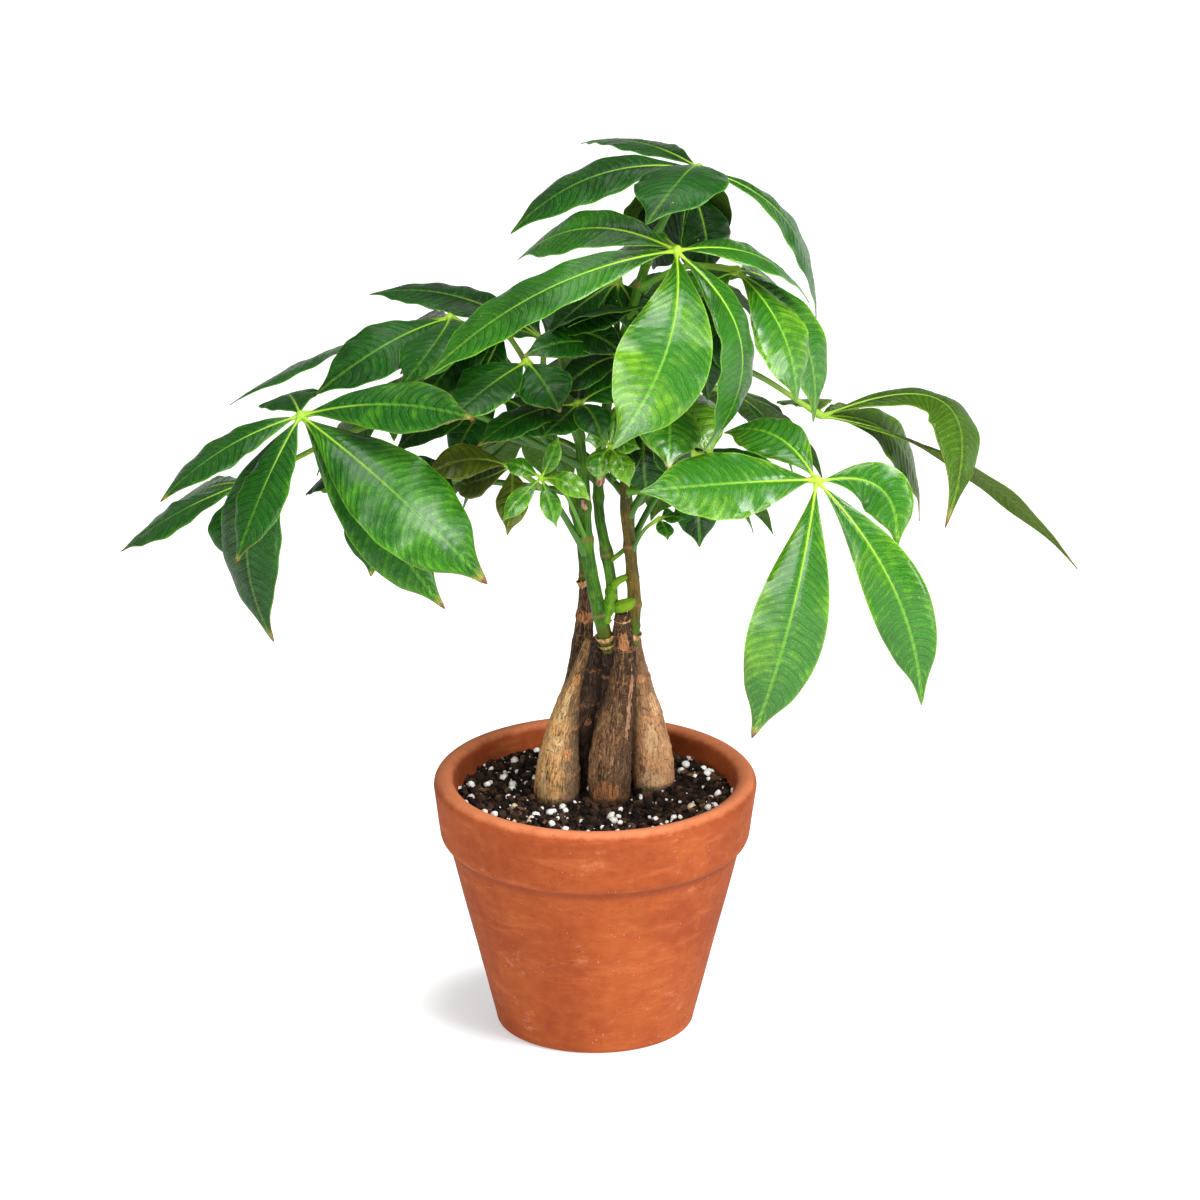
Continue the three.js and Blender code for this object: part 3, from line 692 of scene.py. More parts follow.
crumbly = Finish("peat_crumbs", Roughness=0.95, Specular_IOR_Level=0.2)
tone, other = crumbly.marks("tone")[:2]
flecks = crumbly.cloud(0.8)
dark = crumbly.layers(crumbly.mix((18, 12, 9), (96, 70, 54), tone ** 2.4),
                      ((112, 80, 56), other.ease(0.93, 0.97) * 0.8), ((8, 5, 4), flecks * 0.5))
crumbly.feed(Base_Color=dark, Normal=crumbly.bump(flecks, 0.4))
keep(crumbs, "soil_crumbs", crumbly, "potting_mix", smooth=20)

perlite = Finish("perlite", Roughness=0.9)
tone, other = perlite.marks("tone")[:2]
pores = perlite.cloud(0.5, detail=4)
white = perlite.mix((214, 208, 198), (252, 250, 244), (tone + pores * 0.5).ease(0.2, 0.7))
perlite.feed(Base_Color=perlite.mix(white, (214, 182, 140), other.ease(0.88, 0.92) * 0.8),
             Normal=perlite.bump(pores, 0.3))
keep(grains, "perlite_grains", perlite, "potting_mix", smooth=80)

chipped = Finish("chipped_bark", Roughness=0.9, Specular_IOR_Level=0.2)
tone = chipped.marks("tone")[0]
fibre = chipped.cloud(0.7, detail=4)
brown = chipped.mix((58, 38, 27), (160, 118, 82), tone ** 2.6)
chipped.feed(Base_Color=chipped.mix(brown, (40, 26, 18), fibre * 0.6), Normal=chipped.bump(fibre, 0.35))
keep(chips, "bark_chips", chipped, "potting_mix", smooth=25)
print("triangles in the mix:", sum(made.values()) - made["pot_clay"])

# %% [markdown]
# ## Routes and rods
# A trunk, a shoot, a stalk and a leaf's rib are all the same thing to make: a straight
# round rod laid along a smooth route, with a thickness that changes on the way. The rod
# is modelled once, straight, from a cylinder whose long edges are subdivided into rings.
# Laying it means that each of its points keeps its place in the cross-section while the
# height turns into a place along the route.

# %% A smooth route


def through(path, count):
    """Places on a smooth curve through the points of a path, evenly by its segments."""
    knots = np.array([p[:3] for p in path], float)
    knots = np.array([2 * knots[0] - knots[1], *knots, 2 * knots[-1] - knots[-2]])
    spans = np.sum(np.diff(knots, axis=0) ** 2, axis=1) ** 0.25
    found = np.empty((count, 3))
    for i, share in enumerate(np.linspace(0, 1, count) * (len(path) - 1)):
        k = min(int(share), len(path) - 2)
        u = share - k
        p0, p1, p2, p3 = knots[k:k + 4]
        d0, d1, d2 = spans[k:k + 3]
        start = ((p1 - p0) / d0 - (p2 - p0) / (d0 + d1) + (p2 - p1) / d1) * d1
        end = ((p2 - p1) / d1 - (p3 - p1) / (d1 + d2) + (p3 - p2) / d2) * d1
        steep = 2 * p1 - 2 * p2 + start + end
        found[i] = p1 + u * (start + u * (3 * (p2 - p1) - 2 * start - end + u * steep))
    return found


def unit(vector):
    """A vector, or each row of an array, at length 1."""
    return vector / np.linalg.norm(vector, axis=-1, keepdims=True)


class Route:
    """A smooth line, and at each of its places the ways across it and up from it."""

    def __init__(self, centres, across, up):
        self.centres = centres
        self.across = across
        self.up = up
        steps = np.linalg.norm(np.diff(centres, axis=0), axis=1)
        self.walked = np.concatenate([[0], np.cumsum(steps)])
        self.length = self.walked[-1]
        self.shares = np.linspace(0, 1, len(centres))

    def at(self, rows, share):
        return np.column_stack([np.interp(share, self.shares, row) for row in rows.T])

    def along(self, share):
        return np.interp(share, self.shares, self.walked)

    def height(self, share):
        return np.interp(share, self.shares, self.centres[:, 2])

    def place(self, share, x, y, ahead=0):
        """Points at shares of the way, so far across, up and ahead."""
        across = self.at(self.across, share)
        up = self.at(self.up, share)
        x, y, ahead = (np.reshape(value, (-1, 1)) for value in (x, y, ahead))
        return self.at(self.centres, share) + across * x + up * y + np.cross(across, up) * ahead


def stem_route(path, count=161):
    """A route for a round stem: across starts at the right, and up at the back."""
    centres = through(path, count)
    tangents = unit(np.gradient(centres, axis=0))
    across = np.empty_like(centres)
    side = np.array([1, 0, 0.01])
    for i, tangent in enumerate(tangents):
        side = unit(side - tangent * (side @ tangent))
        across[i] = side
    return Route(centres, across, np.cross(tangents, across))


print("a short bow is", round(stem_route([(0, 0, 0), (0, 5, 10), (0, 0, 20)]).length, 1), "mm long")

# %% Straight rods
END_SHARE = 0.9999  # past this share of a rod's way, a point lies on its end


def rod_blank(sides, rings, insets=()):
    """A straight rod, 1 mm in radius and 1 mm high, in so many rings, its end inset."""
    sizes = dict(vertices=sides, radius=MM, depth=MM, location=(0, 0, MM / 2))
    piece = started(bpy.ops.mesh.primitive_cylinder_add, **sizes)
    bpy.ops.object.transform_apply(location=True)

    def runs_up(edge):
        low, high = (piece.data.vertices[k].co.z for k in edge.vertices)
        return abs(high - low) > MM / 2

    def is_end(face):
        return face.normal.z > 0.9 and len(face.vertices) > 4

    with editing(piece):
        pick(piece, "EDGE", runs_up)
        bpy.ops.mesh.subdivide(number_cuts=rings - 1)
        for inset in insets:
            pick(piece, "FACE", is_end)
            bpy.ops.mesh.inset(thickness=inset * MM)
        bpy.ops.mesh.select_mode(type="VERT")
    piece.hide_render = True
    return piece


def widths(path, share):
    """The radius that a path states, eased over its knots, at shares of its way."""
    fine = np.linspace(0, 1, 241)
    stated = np.interp(fine, np.linspace(0, 1, len(path)), [p[3] for p in path])
    window = np.hanning(33)
    padded = np.pad(stated, 16, mode="reflect", reflect_type="odd")
    return np.interp(share, fine, np.convolve(padded, window / window.sum(), mode="valid"))


def lay_rod(blank, route, radius, end_shape=None):
    """A rod laid along a route. Radius is a function of the share, the angle and the length so far."""
    piece = copy_of(blank)
    x, y, share = points_of(blank).T
    share = np.clip(share, 0, 1)
    angle = np.arctan2(y, x)
    along = route.along(share)
    thick = radius(share, angle, along)
    ahead = end_shape(np.hypot(x, y), angle) * (share > END_SHARE) if end_shape else 0
    set_points(piece, route.place(share, x * thick, y * thick, ahead))
    set_marks(piece, "grain", x * thick, y * thick, along)
    return piece, share, angle


fine_rod = rod_blank(72, 190, insets=(0.16, 0.3, 0.24))
shoot_rod = rod_blank(28, 110, insets=(0.25, 0.3))
stalk_rod = rod_blank(12, 44)
rib_rod = rod_blank(8, 26)
blanks = [fine_rod, shoot_rod, stalk_rod, rib_rod]
print("rods with", [len(rod.data.polygons) for rod in blanks], "faces")

# %% [markdown]
# ## The trunks
# Six young trunks stand pressed together, each swollen at the soil and drawn in at its
# top where it was once cut. Their bark is thin and papery: fine lengthwise fibres, raised
# rings where leaves once sat, and patches where the outer skin has peeled off a paler
# layer. The fibres and rings are real relief, worked out from the place round and along
# each trunk. Each patch is one mask, kept on the points, that both sinks the surface and
# changes its colour, so the two always agree.

# %% The plan of the trunks
# Each trunk's path is a row of (x, y, z, radius), from inside the soil to its top.
TRUNKS = {
    "trunk_front_left": [
        (-17.8, -4, 84, 8), (-17.8, -4, 102, 10.4), (-17.5, -3.5, 122, 10.8), (-16.5, -2, 138, 9.1),
        (-13.2, 0.5, 156, 6.2), (-7.8, 4, 172, 4.1), (-1.5, 6, 190, 3),
    ],
    "trunk_front_middle": [
        (7, -5, 84, 8), (7, -5, 104, 9.2), (7.2, -5, 128, 10.3), (8.5, -5, 145, 9.1),
        (12, -6, 166, 6.8), (13.5, -7.5, 185, 5.7), (13.2, -7.9, 198, 5.2), (12.5, -8, 208.5, 3.1),
    ],
    "trunk_right": [
        (27, 11, 84, 8), (27, 11, 104, 9.4), (27, 11, 124, 9.9), (25.5, 9, 142, 8.4),
        (22, 6, 162, 6.3), (19, 5.5, 178, 4.8), (17.5, 6, 190, 4),
    ],
    "trunk_inner_left": [
        (-8, 14, 84, 5.5), (-8, 13, 110, 6.6), (-8, 11, 134, 6.4), (-5.5, 6, 150, 5.6),
        (-1.5, 0, 168, 4.9), (1, -1.5, 183, 4.2), (2.5, -1.5, 193, 3.6),
    ],
    "trunk_back_left": [
        (-19.5, 17, 84, 6), (-19.5, 17, 108, 7.4), (-18, 17, 125, 7.4), (-13.5, 16.5, 145, 6.4),
        (-8.5, 15.5, 166, 5.4), (-5.8, 15, 186, 4.8), (-4.8, 15, 199, 3.9), (-4, 15, 214, 3.4),
    ],
    "trunk_inner_right": [
        (4, 15, 84, 3), (4, 15, 112, 3.6), (1, 11, 138, 3.5), (3.5, 4, 155, 3.2),
        (6, -3, 172, 3), (6.3, -8.5, 192, 3.2),
    ],
}
# Marks on the bark. A peeled patch and a scar have a height, a turn from the right in
# degrees (-90 faces the front), half a height and half a width in degrees. A ring has a
# height and half a thickness.
PEELED = {
    "trunk_front_left": [(143, -104, 5, 24), (162, -110, 12, 20), (124, -132, 9, 14), (136, 120, 7, 24)],
    "trunk_front_middle": [(164, -48, 20, 13), (134, 84, 8, 22)],
    "trunk_right": [(141, -82, 10, 26), (118, -92, 7, 38), (158, -40, 6, 22), (138, 96, 9, 30)],
    "trunk_back_left": [(172, -70, 4, 26)],
}
SCARS = {
    "trunk_front_left": [(138, -66, 3.5, 22), (172, -96, 3, 30), (126, 70, 5, 26)],
    "trunk_front_middle": [(117, -106, 9, 46), (196, -88, 4.5, 34), (113, -40, 5, 30)],
    "trunk_right": [(172, -80, 2.2, 20), (128, 30, 6, 24)],
    "trunk_inner_left": [(150, -70, 3, 24)],
    "trunk_back_left": [(199, -92, 3.4, 75), (140, 90, 6, 30)],
    "trunk_inner_right": [(166, -70, 2, 40)],
}
RINGS = {
    "trunk_front_left": [(150, 1), (167, 1), (128, 0.8)],
    "trunk_front_middle": [(192, 1.2), (176, 0.8), (148, 0.8)],
    "trunk_right": [(172, 1.3), (152, 0.9), (134, 0.8)],
    "trunk_inner_left": [(160, 1), (178, 1)],
    "trunk_back_left": [(199, 2.6), (160, 0.9)],
    "trunk_inner_right": [(176, 1), (152, 0.8)],
}
print(len(TRUNKS), "trunks with", sum(len(rings) for rings in RINGS.values()), "rings")

# %% Bark in relief
RING_RISE = 0.42
PEEL_DEPTH = 0.3
SCAR_DEPTH = 0.22


def patch_mask(patches, places, angle, seed):
    """How far each point lies in one of these ragged patches."""
    mask = 0 * angle
    ragged = noise_at(places, 3.2, seed) * 0.32 + noise_at(places, 1.1, seed + 5) * 0.14
    for height, turn, half_height, half_turn in patches:
        slip = (angle - math.radians(turn) + math.pi) % (2 * math.pi) - math.pi
        up = (places[:, 2] - height) / half_height
        reach = np.sqrt(up ** 2 + (slip / math.radians(half_turn)) ** 2) + ragged
        mask = np.maximum(mask, 1 - eased(reach, 0.72, 1.02))
    return mask


def ring_mask(rings, places, seed):
    """How far each point lies in one of these rings, which run a little aslant."""
    mask = 0 * places[:, 2]
    for height, half_height in rings:
        slope = noise_at(places, 9, seed + height) * 1.4
        reach = abs(places[:, 2] - height + slope) / half_height
        mask = np.maximum(mask, 1 - eased(reach, 0.72, 1.02))
    return mask


def cut_end(inner, angle):
    """A sawn end: a raised skin round a sunken, healed middle."""
    skin = 0.5 * eased(inner, 0.5, 0.8) * (1 - eased(inner, 0.86, 1))
    return skin - 0.9 * (1 - eased(inner, 0.2, 0.62)) + 0.12 * np.sin(angle * 5 + inner * 9)


def trunk(name, seed):
    """One trunk with fibres, knuckles and marks."""
    path = TRUNKS[name]
    route = stem_route(path, 241)
    full = max(p[3] for p in path)

    def radius(share, angle, along):
        base = widths(path, share)
        size = base / full
        around = np.column_stack([np.cos(angle) * base, np.sin(angle) * base, along])
        lumps = noise_at(around * (1, 1, 0.7), 9, seed) * 0.42 + noise_at(around, 3.6, seed + 2) * 0.14
        fibres = noise_at(around * (1, 1, 0.1), 0.85, seed + 7) * 0.12
        wrinkles = noise_at(around * (0.25, 0.25, 1), 0.9, seed + 11) * 0.07
        flakes = eased(noise_at(around * (1, 1, 0.6), 2.1, seed + 19), 0.18, 0.3) * 0.24
        flutes = 0.035 * base * np.cos(3 * angle + seed + along * 0.03) * eased(size, 0.7, 1)
        return base + (lumps + fibres + wrinkles + flakes) * (0.45 + 0.55 * size) + flutes

    piece, share, angle = lay_rod(fine_rod, route, radius, cut_end)
    places = points_of(piece)
    peel, scar = (patch_mask(plan.get(name, []), places, angle, seed) for plan in (PEELED, SCARS))
    ring = ring_mask(RINGS[name], places, seed)
    off = places - route.at(route.centres, share)
    reach = np.linalg.norm(off, axis=1, keepdims=True)
    rise = (RING_RISE * ring - PEEL_DEPTH * peel - SCAR_DEPTH * scar) * (share < END_SHARE)
    set_points(piece, places + off / np.maximum(reach, 0.01) * rise[:, None])
    set_marks(piece, "bark", peel, scar, ring)
    return piece


trunks = {name: trunk(name, 3 + 17 * i) for i, name in enumerate(TRUNKS)}
print("each trunk has", len(fine_rod.data.polygons), "faces")

# %% [markdown]
# ## Bark
# Each trunk has its own bark: tan and yellowish, near black, or rosy. The two trunks
# inside the bunch get the near black bark darkened, as painted shade. One recipe serves
# them all with different colours, and paints shade down one side, which fades it to grey.
# The grain reads the unrolled place round and along the trunk that the rod carries, so the
# fibres follow every bend, and the peeled patches and scars come from the masks.

# %% The recipe of bark


def bark(name, pale, middle, dark, peeled, scarred, shaded):
    """Papery bark in six colours, the last one painted as shade on the side turned from the light."""
    finish = Finish(name, Specular_IOR_Level=0.22)
    broad = finish.cloud(9, finish.grain(1, 1, 0.6), 5, 0.62)
    fibres = finish.cloud(0.6, finish.grain(1, 1, 0.11), 5, 0.75)
    streaks = finish.cloud(1.8, finish.grain(1, 1, 0.14), 4, 0.65)
    creases = finish.cloud(0.75, finish.grain(0.22, 0.22, 1))
    crumple = finish.cloud(1.3, finish.grain(1, 1, 0.7), 5, 0.7)
    scales = finish.cells(3.4, finish.grain(1, 1, 0.5), "DISTANCE_TO_EDGE")
    peel, scar, ring = finish.marks("bark")
    height = finish.height()
    shade = broad * 0.5 + streaks * 0.25 + fibres * 0.15 + crumple * 0.1
    turned_off = (finish.marks("grain")[0] + (broad - 0.5) * 9).ease(-1, 5)
    weathered = (crumple * 0.45 + broad * 0.55).ease(0.5, 0.45)
    frayed = peel + (crumple - 0.5) * 2 + (broad - 0.5) * 0.8 + (fibres - 0.5) * 0.5
    bare = frayed.ease(0.42, 0.58)
    rim = frayed.ease(0.3, 0.42) * frayed.ease(0.56, 0.46) * peel.ease(0.05, 0.3)
    torn = (scar + (crumple - 0.5) * 1.8 + (streaks - 0.5) * 0.8).ease(0.42, 0.6)
    cracks = (scales + (crumple - 0.5) * 0.22).ease(0.05, 0) * broad.ease(0.46, 0.6)
    slits = fibres.ease(0.47, 0.39)
    tint = finish.layers(
        dark,
        (middle, shade.ease(0.41, 0.49)),
        (pale, shade.ease(0.5, 0.58)),
        # Painted shade down one side of the trunk.
        (shaded, turned_off * 0.85),
        (dark, (height + (broad - 0.5) * 60).ease(148, 176) * 0.75),
        (dark, weathered * 0.4),
        (peeled, bare * (fibres * 0.5 + crumple * 0.5).ease(0.36, 0.52) * 0.9),
        (dark, rim * 0.5),
        (scarred, torn * (fibres * 0.5 + streaks * 0.5).ease(0.36, 0.52) * 0.85),
        (dark, cracks * 0.75),
        (dark, slits * 0.3),
        (pale, fibres.ease(0.53, 0.62) * 0.45),
        (pale, creases.ease(0.6, 0.7) * 0.3),
        (scarred, ring * crumple.ease(0.42, 0.6) * 0.6),
        (dark, crumple.ease(0.58, 0.64) * 0.28),
        ((44, 30, 22), (height - crumple * 7).ease(114.5, 111.5) * 0.8),  # soiled at its foot
    )
    relief = fibres * 1.2 + streaks * 0.8 + crumple * 0.9 + creases * 0.4
    relief = relief - cracks * 0.5 - slits * 0.6 - bare * 0.4
    finish.feed(Base_Color=tint, Roughness=0.74 + fibres * 0.2, Normal=finish.bump(relief, 1.5))
    return finish


print("the recipe takes", bark.__code__.co_argcount - 1, "colours")

# %% Four barks
tan = bark("tan_bark", (255, 208, 138), (255, 194, 124), (116, 86, 62),
           (255, 214, 152), (246, 166, 100), (124, 102, 82))
black = bark("dark_bark", (214, 164, 116), (146, 106, 72), (42, 27, 18),
             (226, 166, 128), (206, 136, 84), (108, 80, 60))
rosy = bark("rosy_bark", (255, 200, 144), (255, 188, 130), (134, 94, 66),
            (255, 208, 154), (252, 176, 118), (250, 188, 134))
# Painted shade: the dark bark darkened further, for the two trunks inside the bunch.
deep = bark("deep_bark", (132, 102, 78), (92, 68, 51), (34, 24, 18),
            (170, 130, 106), (210, 140, 92), (66, 49, 38))
BARKS = {
    "trunk_front_left": (tan, "bark_tan"), "trunk_right": (rosy, "bark_rosy"),
    "trunk_inner_left": (deep, "bark_dark"), "trunk_inner_right": (deep, "bark_dark"),
}
for name, piece in trunks.items():
    keep(piece, name + "_bark", *BARKS.get(name, (black, "bark_dark")), name, smooth=50)
print("bark on", len(trunks), "trunks")

# %% [markdown]
# ## The shoots
# From the cut trunks green shoots grow, smooth and a little angular, with a swollen ring
# wherever a leaf sits or sat. The rods carry swellings at their nodes. Short stems, such
# as a side bud and a bare twig, are laid in the same way with a rounded end.

# %% The plan of the shoots
SHOOTS = {
    "shoot_left": [
        (6.3, -8.5, 190, 3), (2.5, -9, 207, 3.4), (-3.6, -8, 240, 3), (-5.6, -6, 278, 2.6),
        (-9, -5, 312, 2.2),
    ],
    "shoot_middle": [
        (3.4, -9, 203, 2.4), (7.6, -4, 216, 2.6), (5.6, 1, 233, 2.5), (1.8, 5, 254, 2.4), (2, 8, 280, 2.4),
        (8, 10, 320, 2.3), (20, 9, 365, 2.2), (28, 7, 392, 2),
    ],
    "shoot_right": [
        (17, -7, 192, 3), (18.4, -5, 214, 2.9), (15.8, -2, 244, 2.6), (14.2, 0, 264, 2.5),
        (22, 3, 302, 2.3), (29, 6, 330, 2),
    ],
    "shoot_back_left": [(-4, 15, 211, 2.6), (-8, 19, 245, 2.6), (-20, 24, 284, 2.4), (-34, 24, 312, 2)],
    "shoot_back": [
        (17.6, 6, 187, 2.8), (18, 10, 206, 2.8), (16, 22, 240, 2.6), (13, 38, 275, 2.4),
        (12, 50, 302, 2),
    ],
}
NODES = {  # heights of the rings on each shoot
    "shoot_left": [196, 208, 246, 262, 281, 297, 308],
    "shoot_middle": [214, 234, 237, 262, 300, 330, 352, 367, 380, 388],
    "shoot_right": [197, 212, 240, 268, 285, 298, 312, 322],
    "shoot_back_left": [218, 250, 270, 286, 302],
    "shoot_back": [196, 218, 246, 268, 290],
}
SHORT_STEMS = {
    "side_bud": [
        (8.8, -7.6, 210.8, 2.2), (12, -8, 212.2, 3.3), (15.4, -7.4, 213.2, 3), (18.2, -6.2, 214.6, 2.2),
    ],
    "middle_foot": [(4.6, -9.6, 205, 2), (6, -9.2, 210.6, 3), (7, -7.6, 215.6, 2.9), (7.6, -5, 221, 2.4)],
    "green_nub": [(7.4, -5, 217.6, 2), (9.6, -4.2, 222.6, 1.9), (12.6, -4, 224.6, 1.7), (16, -4, 226, 1.4)],
    "side_twig": [(6, 0.6, 231, 1.3), (9.6, -0.6, 234.4, 1.15), (13, -1.2, 237.6, 1.1), (16, -2, 241, 1.1)],
}
print(len(SHOOTS), "shoots with", sum(len(heights) for heights in NODES.values()), "nodes")

# %% Shoots and short stems
NODE_SWELL = 0.55
WOODY_REACH = (4, 26)  # how far above its foot a shoot is woody, and where that has ended


def node_swell(heights, z):
    """How much a stem swells at its nodes, and a mask of the rings themselves."""
    swell = sum(NODE_SWELL * np.exp(-((z - height) / 2.2) ** 2) for height in heights)
    rings = [1 - eased(np.abs(z - height - 0.8), 0.15, 0.6) for height in heights]
    return swell, np.maximum.reduce(rings)


def round_end(inner, angle):
    """A softly domed end, the same all round."""
    return 1.2 * (1 - inner ** 2)


def shoot(name, seed):
    """One shoot with its nodes and its soft ridges."""
    path = SHOOTS[name]
    route = stem_route(path)

    def radius(share, angle, along):
        base = widths(path, share)
        swell, ring = node_swell(NODES[name], route.height(share))
        around = np.column_stack([np.cos(angle) * base, np.sin(angle) * base, along])
        ridges = 0.07 * base * np.cos(5 * angle + along * 0.02 + seed)
        return base + swell + 0.14 * ring + ridges + noise_at(around, 5, seed) * 0.16

    piece, share, _ = lay_rod(shoot_rod, route, radius, round_end)
    height = route.height(share)
    ring = node_swell(NODES[name], height)[1]
    age = 1 - eased(height, *(path[0][2] + reach for reach in WOODY_REACH))
    set_marks(piece, "stem", ring, age, share)
    return piece


def short_stem(path, blank, bulge=lambda share, angle: 0):
    """A short stem, bud or twig along a path."""
    def radius(share, angle, along):
        return widths(path, share) + bulge(share, angle)

    piece, share, _ = lay_rod(blank, stem_route(path, 49), radius, round_end)
    set_marks(piece, "stem", 0, 0.5, share)
    return piece


def wrinkled(share, angle):
    return 0.4 * np.sin(share * 17 + np.cos(angle))


shoots = {name: shoot(name, 5 + 13 * i) for i, name in enumerate(SHOOTS)}
print("the shoots have", sum(len(piece.data.polygons) for piece in shoots.values()), "faces")

# %% Green stems


def stem_finish(name, fresh, deep, woody):
    """A smooth young stem: fresh or deep green, browner and woodier towards its foot."""
    finish = Finish(name, Specular_IOR_Level=0.2)
    streaks = finish.cloud(0.9, finish.grain(1, 1, 0.12), 4)
    broad = finish.cloud(9)
    ring, age = finish.marks("stem")[:2]
    brown = (age + streaks * 0.6 - 0.3 + broad * 0.3).ease(0.5, 1)
    pores = finish.cells(2.2).ease(0.12, 0.06)
    tint = finish.layers(
        finish.mix(deep, fresh, (broad * 0.5 + streaks * 0.5).ease(0.36, 0.64)),
        (woody, brown * 0.85), ((128, 92, 58), ring * 0.7), ((196, 190, 120), pores * 0.45),
    )
    finish.feed(Base_Color=tint, Roughness=0.46 + streaks * 0.16 + brown * 0.2,
                Normal=finish.bump(streaks + pores * 0.5, 0.22))
    return finish


green = stem_finish("green_stem", (70, 118, 8), (28, 68, 4), (70, 74, 12))
olive = stem_finish("olive_stem", (104, 84, 20), (52, 48, 5), (66, 94, 12))
fresh = stem_finish("fresh_stem", (118, 156, 16), (46, 106, 8), (84, 108, 16))
for name, piece in shoots.items():
    look = (olive, "stem_olive") if name == "shoot_right" else (green, "stem_green")
    keep(piece, name + "_stem", *look, name)
for name, path in SHORT_STEMS.items():
    piece = short_stem(path, shoot_rod, wrinkled) if name == "middle_foot" else short_stem(path, shoot_rod)
    keep(piece, name, fresh, "stem_green", *(["shoot_right"] if name == "side_bud" else []))
print("short stems:", ", ".join(SHORT_STEMS))

# %% [markdown]
# ## Papery scales and dry buds
# Where a shoot breaks out of old wood, the torn bark stays as a thin ragged collar. A
# collar starts as a short open cylinder, gets its wall from Solidify, and is then bent
# round the stem with teeth of uneven height. A dry bud is a small spindle.

# %% Collars
COLLAR_WALL = 0.08


def collar_blank(sides, rings):
    """A short open tube with a wall, 1 mm in radius and 1 mm high."""
    piece = started(bpy.ops.mesh.primitive_circle_add, vertices=sides, radius=MM, fill_type="NOTHING")
    with editing(piece):
        for _ in range(rings):
            bpy.ops.mesh.extrude_region_move(TRANSFORM_OT_translate={"value": (0, 0, MM / rings)})
        bpy.ops.mesh.select_all(action="SELECT")
        bpy.ops.mesh.normals_make_consistent(inside=False)
    apply_modifier(piece, "SOLIDIFY", thickness=COLLAR_WALL * MM, offset=-1)
    return piece


def collar(path, at, radius, height, flare, seed):
    """A torn scale round a stem, at a share of its way."""
    route = stem_route(path)
    piece = copy_of(tube)
    x, y, up = points_of(tube).T
    angle = np.arctan2(y, x)
    wall = np.hypot(x, y) - 1
    ring = np.column_stack([np.cos(angle) * 3, np.sin(angle) * 3, 0 * angle])
    tall = height * (0.75 + 0.45 * noise_at(ring, 1.3, seed) + 0.28 * noise_at(ring, 0.5, seed + 3))
    loose = radius + flare * up ** 1.5 * (0.6 + noise_at(ring, 1.6, seed + 6)) + wall * 4
    share = at + (up - 0.35) * np.maximum(tall, 0.4) / route.length
    set_points(piece, route.place(share, np.cos(angle) * loose, np.sin(angle) * loose))
    set_marks(piece, "grain", x * radius, y * radius, up * height)
    return piece


tube = collar_blank(40, 6)
collars = [
    collar(SHOOTS["shoot_left"], 0.1, 3.9, 5.5, 1.6, 2),
    collar(SHOOTS["shoot_left"], 0.045, 3.8, 4, 1.2, 8),
    collar(SHOOTS["shoot_middle"], 0.03, 3.2, 4, 1, 12),
    collar(SHOOTS["shoot_right"], 0.04, 3.7, 4.5, 1.1, 19),
    collar(SHOOTS["shoot_back_left"], 0.03, 3.5, 5, 1.2, 23),
    collar(SHOOTS["shoot_back"], 0.06, 3.6, 5, 1.3, 29),
    collar(TRUNKS["trunk_front_middle"], 0.95, 3.8, 4, 0.5, 37),
]
bpy.data.objects.remove(tube)
print(len(collars), "collars of", len(collars[0].data.polygons), "faces")

# %% Dry buds and their finishes
DRY_BUDS = [
    [(1.6, 1.4, 270, 1.1), (2.3, -0.4, 272.5, 2.3), (2.9, -1, 275.5, 2), (3.4, -1.2, 279, 0.5)],
    [(-4.4, -9.2, 262, 0.9), (-5.2, -11, 264.4, 1.5), (-5.8, -11.8, 267.4, 0.4)],
    [(18.6, -0.6, 296, 0.9), (19.6, -2.2, 298.6, 1.6), (20.8, -2.8, 302, 0.4)],
    [(11.6, 8.2, 333, 0.9), (13.2, 6.6, 336, 1.4), (14.6, 5.6, 340, 0.4)],
]


def scaly(share, angle):
    return 0.16 * np.cos(4 * angle + share * 5)


papery = Finish("papery_scale", Specular_IOR_Level=0.25, Roughness=0.85)
fibres = papery.cloud(0.7, papery.grain(1, 1, 0.15), 4)
tint = papery.mix((96, 66, 42), (186, 140, 92), fibres.ease(0.34, 0.62))
papery.feed(Base_Color=papery.mix(tint, (206, 176, 132), papery.cloud(3).ease(0.55, 0.7) * 0.6),
            Normal=papery.bump(fibres, 0.3))
keep(joined(collars), "papery_scales", papery, "bark_dark", smooth=50)

dry = Finish("dry_bud", Specular_IOR_Level=0.25, Roughness=0.8)
fibres = dry.cloud(0.6, dry.grain(1, 1, 0.2))
dry.feed(Base_Color=dry.mix((110, 70, 52), (204, 156, 132), fibres.ease(0.35, 0.65)),
         Normal=dry.bump(fibres, 0.25))
buds = joined([short_stem(path, stalk_rod, scaly) for path in DRY_BUDS])
keep(buds, "dry_buds", dry, "bark_rosy", smooth=50)
print("scales and buds:", made["papery_scales"], "and", made["dry_buds"], "triangles")

# %% [markdown]
# ## The leaves
# Each leaf is a hand of leaflets that meet at a knob on the end of its stalk. The plan
# lists each leaf's knob, the way it faces and its leaflets. The leaves at the back
# spread their leaflets by a rule.

# %% A leaf's plan


@dataclass
class Leaf:
    """One leaf. A leaflet is (dx, dy, dz, width, bow, sway, twist): its tip from the knob,
    its greatest width, how far its middle bows towards the face and to the side, and its
    twist in degrees."""
    name: str
    shoot: str
    foot: float  # the share of the shoot's way where the stalk starts
    look: str
    hub: tuple  # the knob's place
    face: tuple
    leaflets: list
    rise: float = 0.12  # how far the stalk bows upward, as a share of its span
    slim: float = 1  # how thick its parts are beside a full-grown leaf's
    inner: bool = False


print("a leaf's plan holds its", ", ".join(Leaf.__dataclass_fields__))

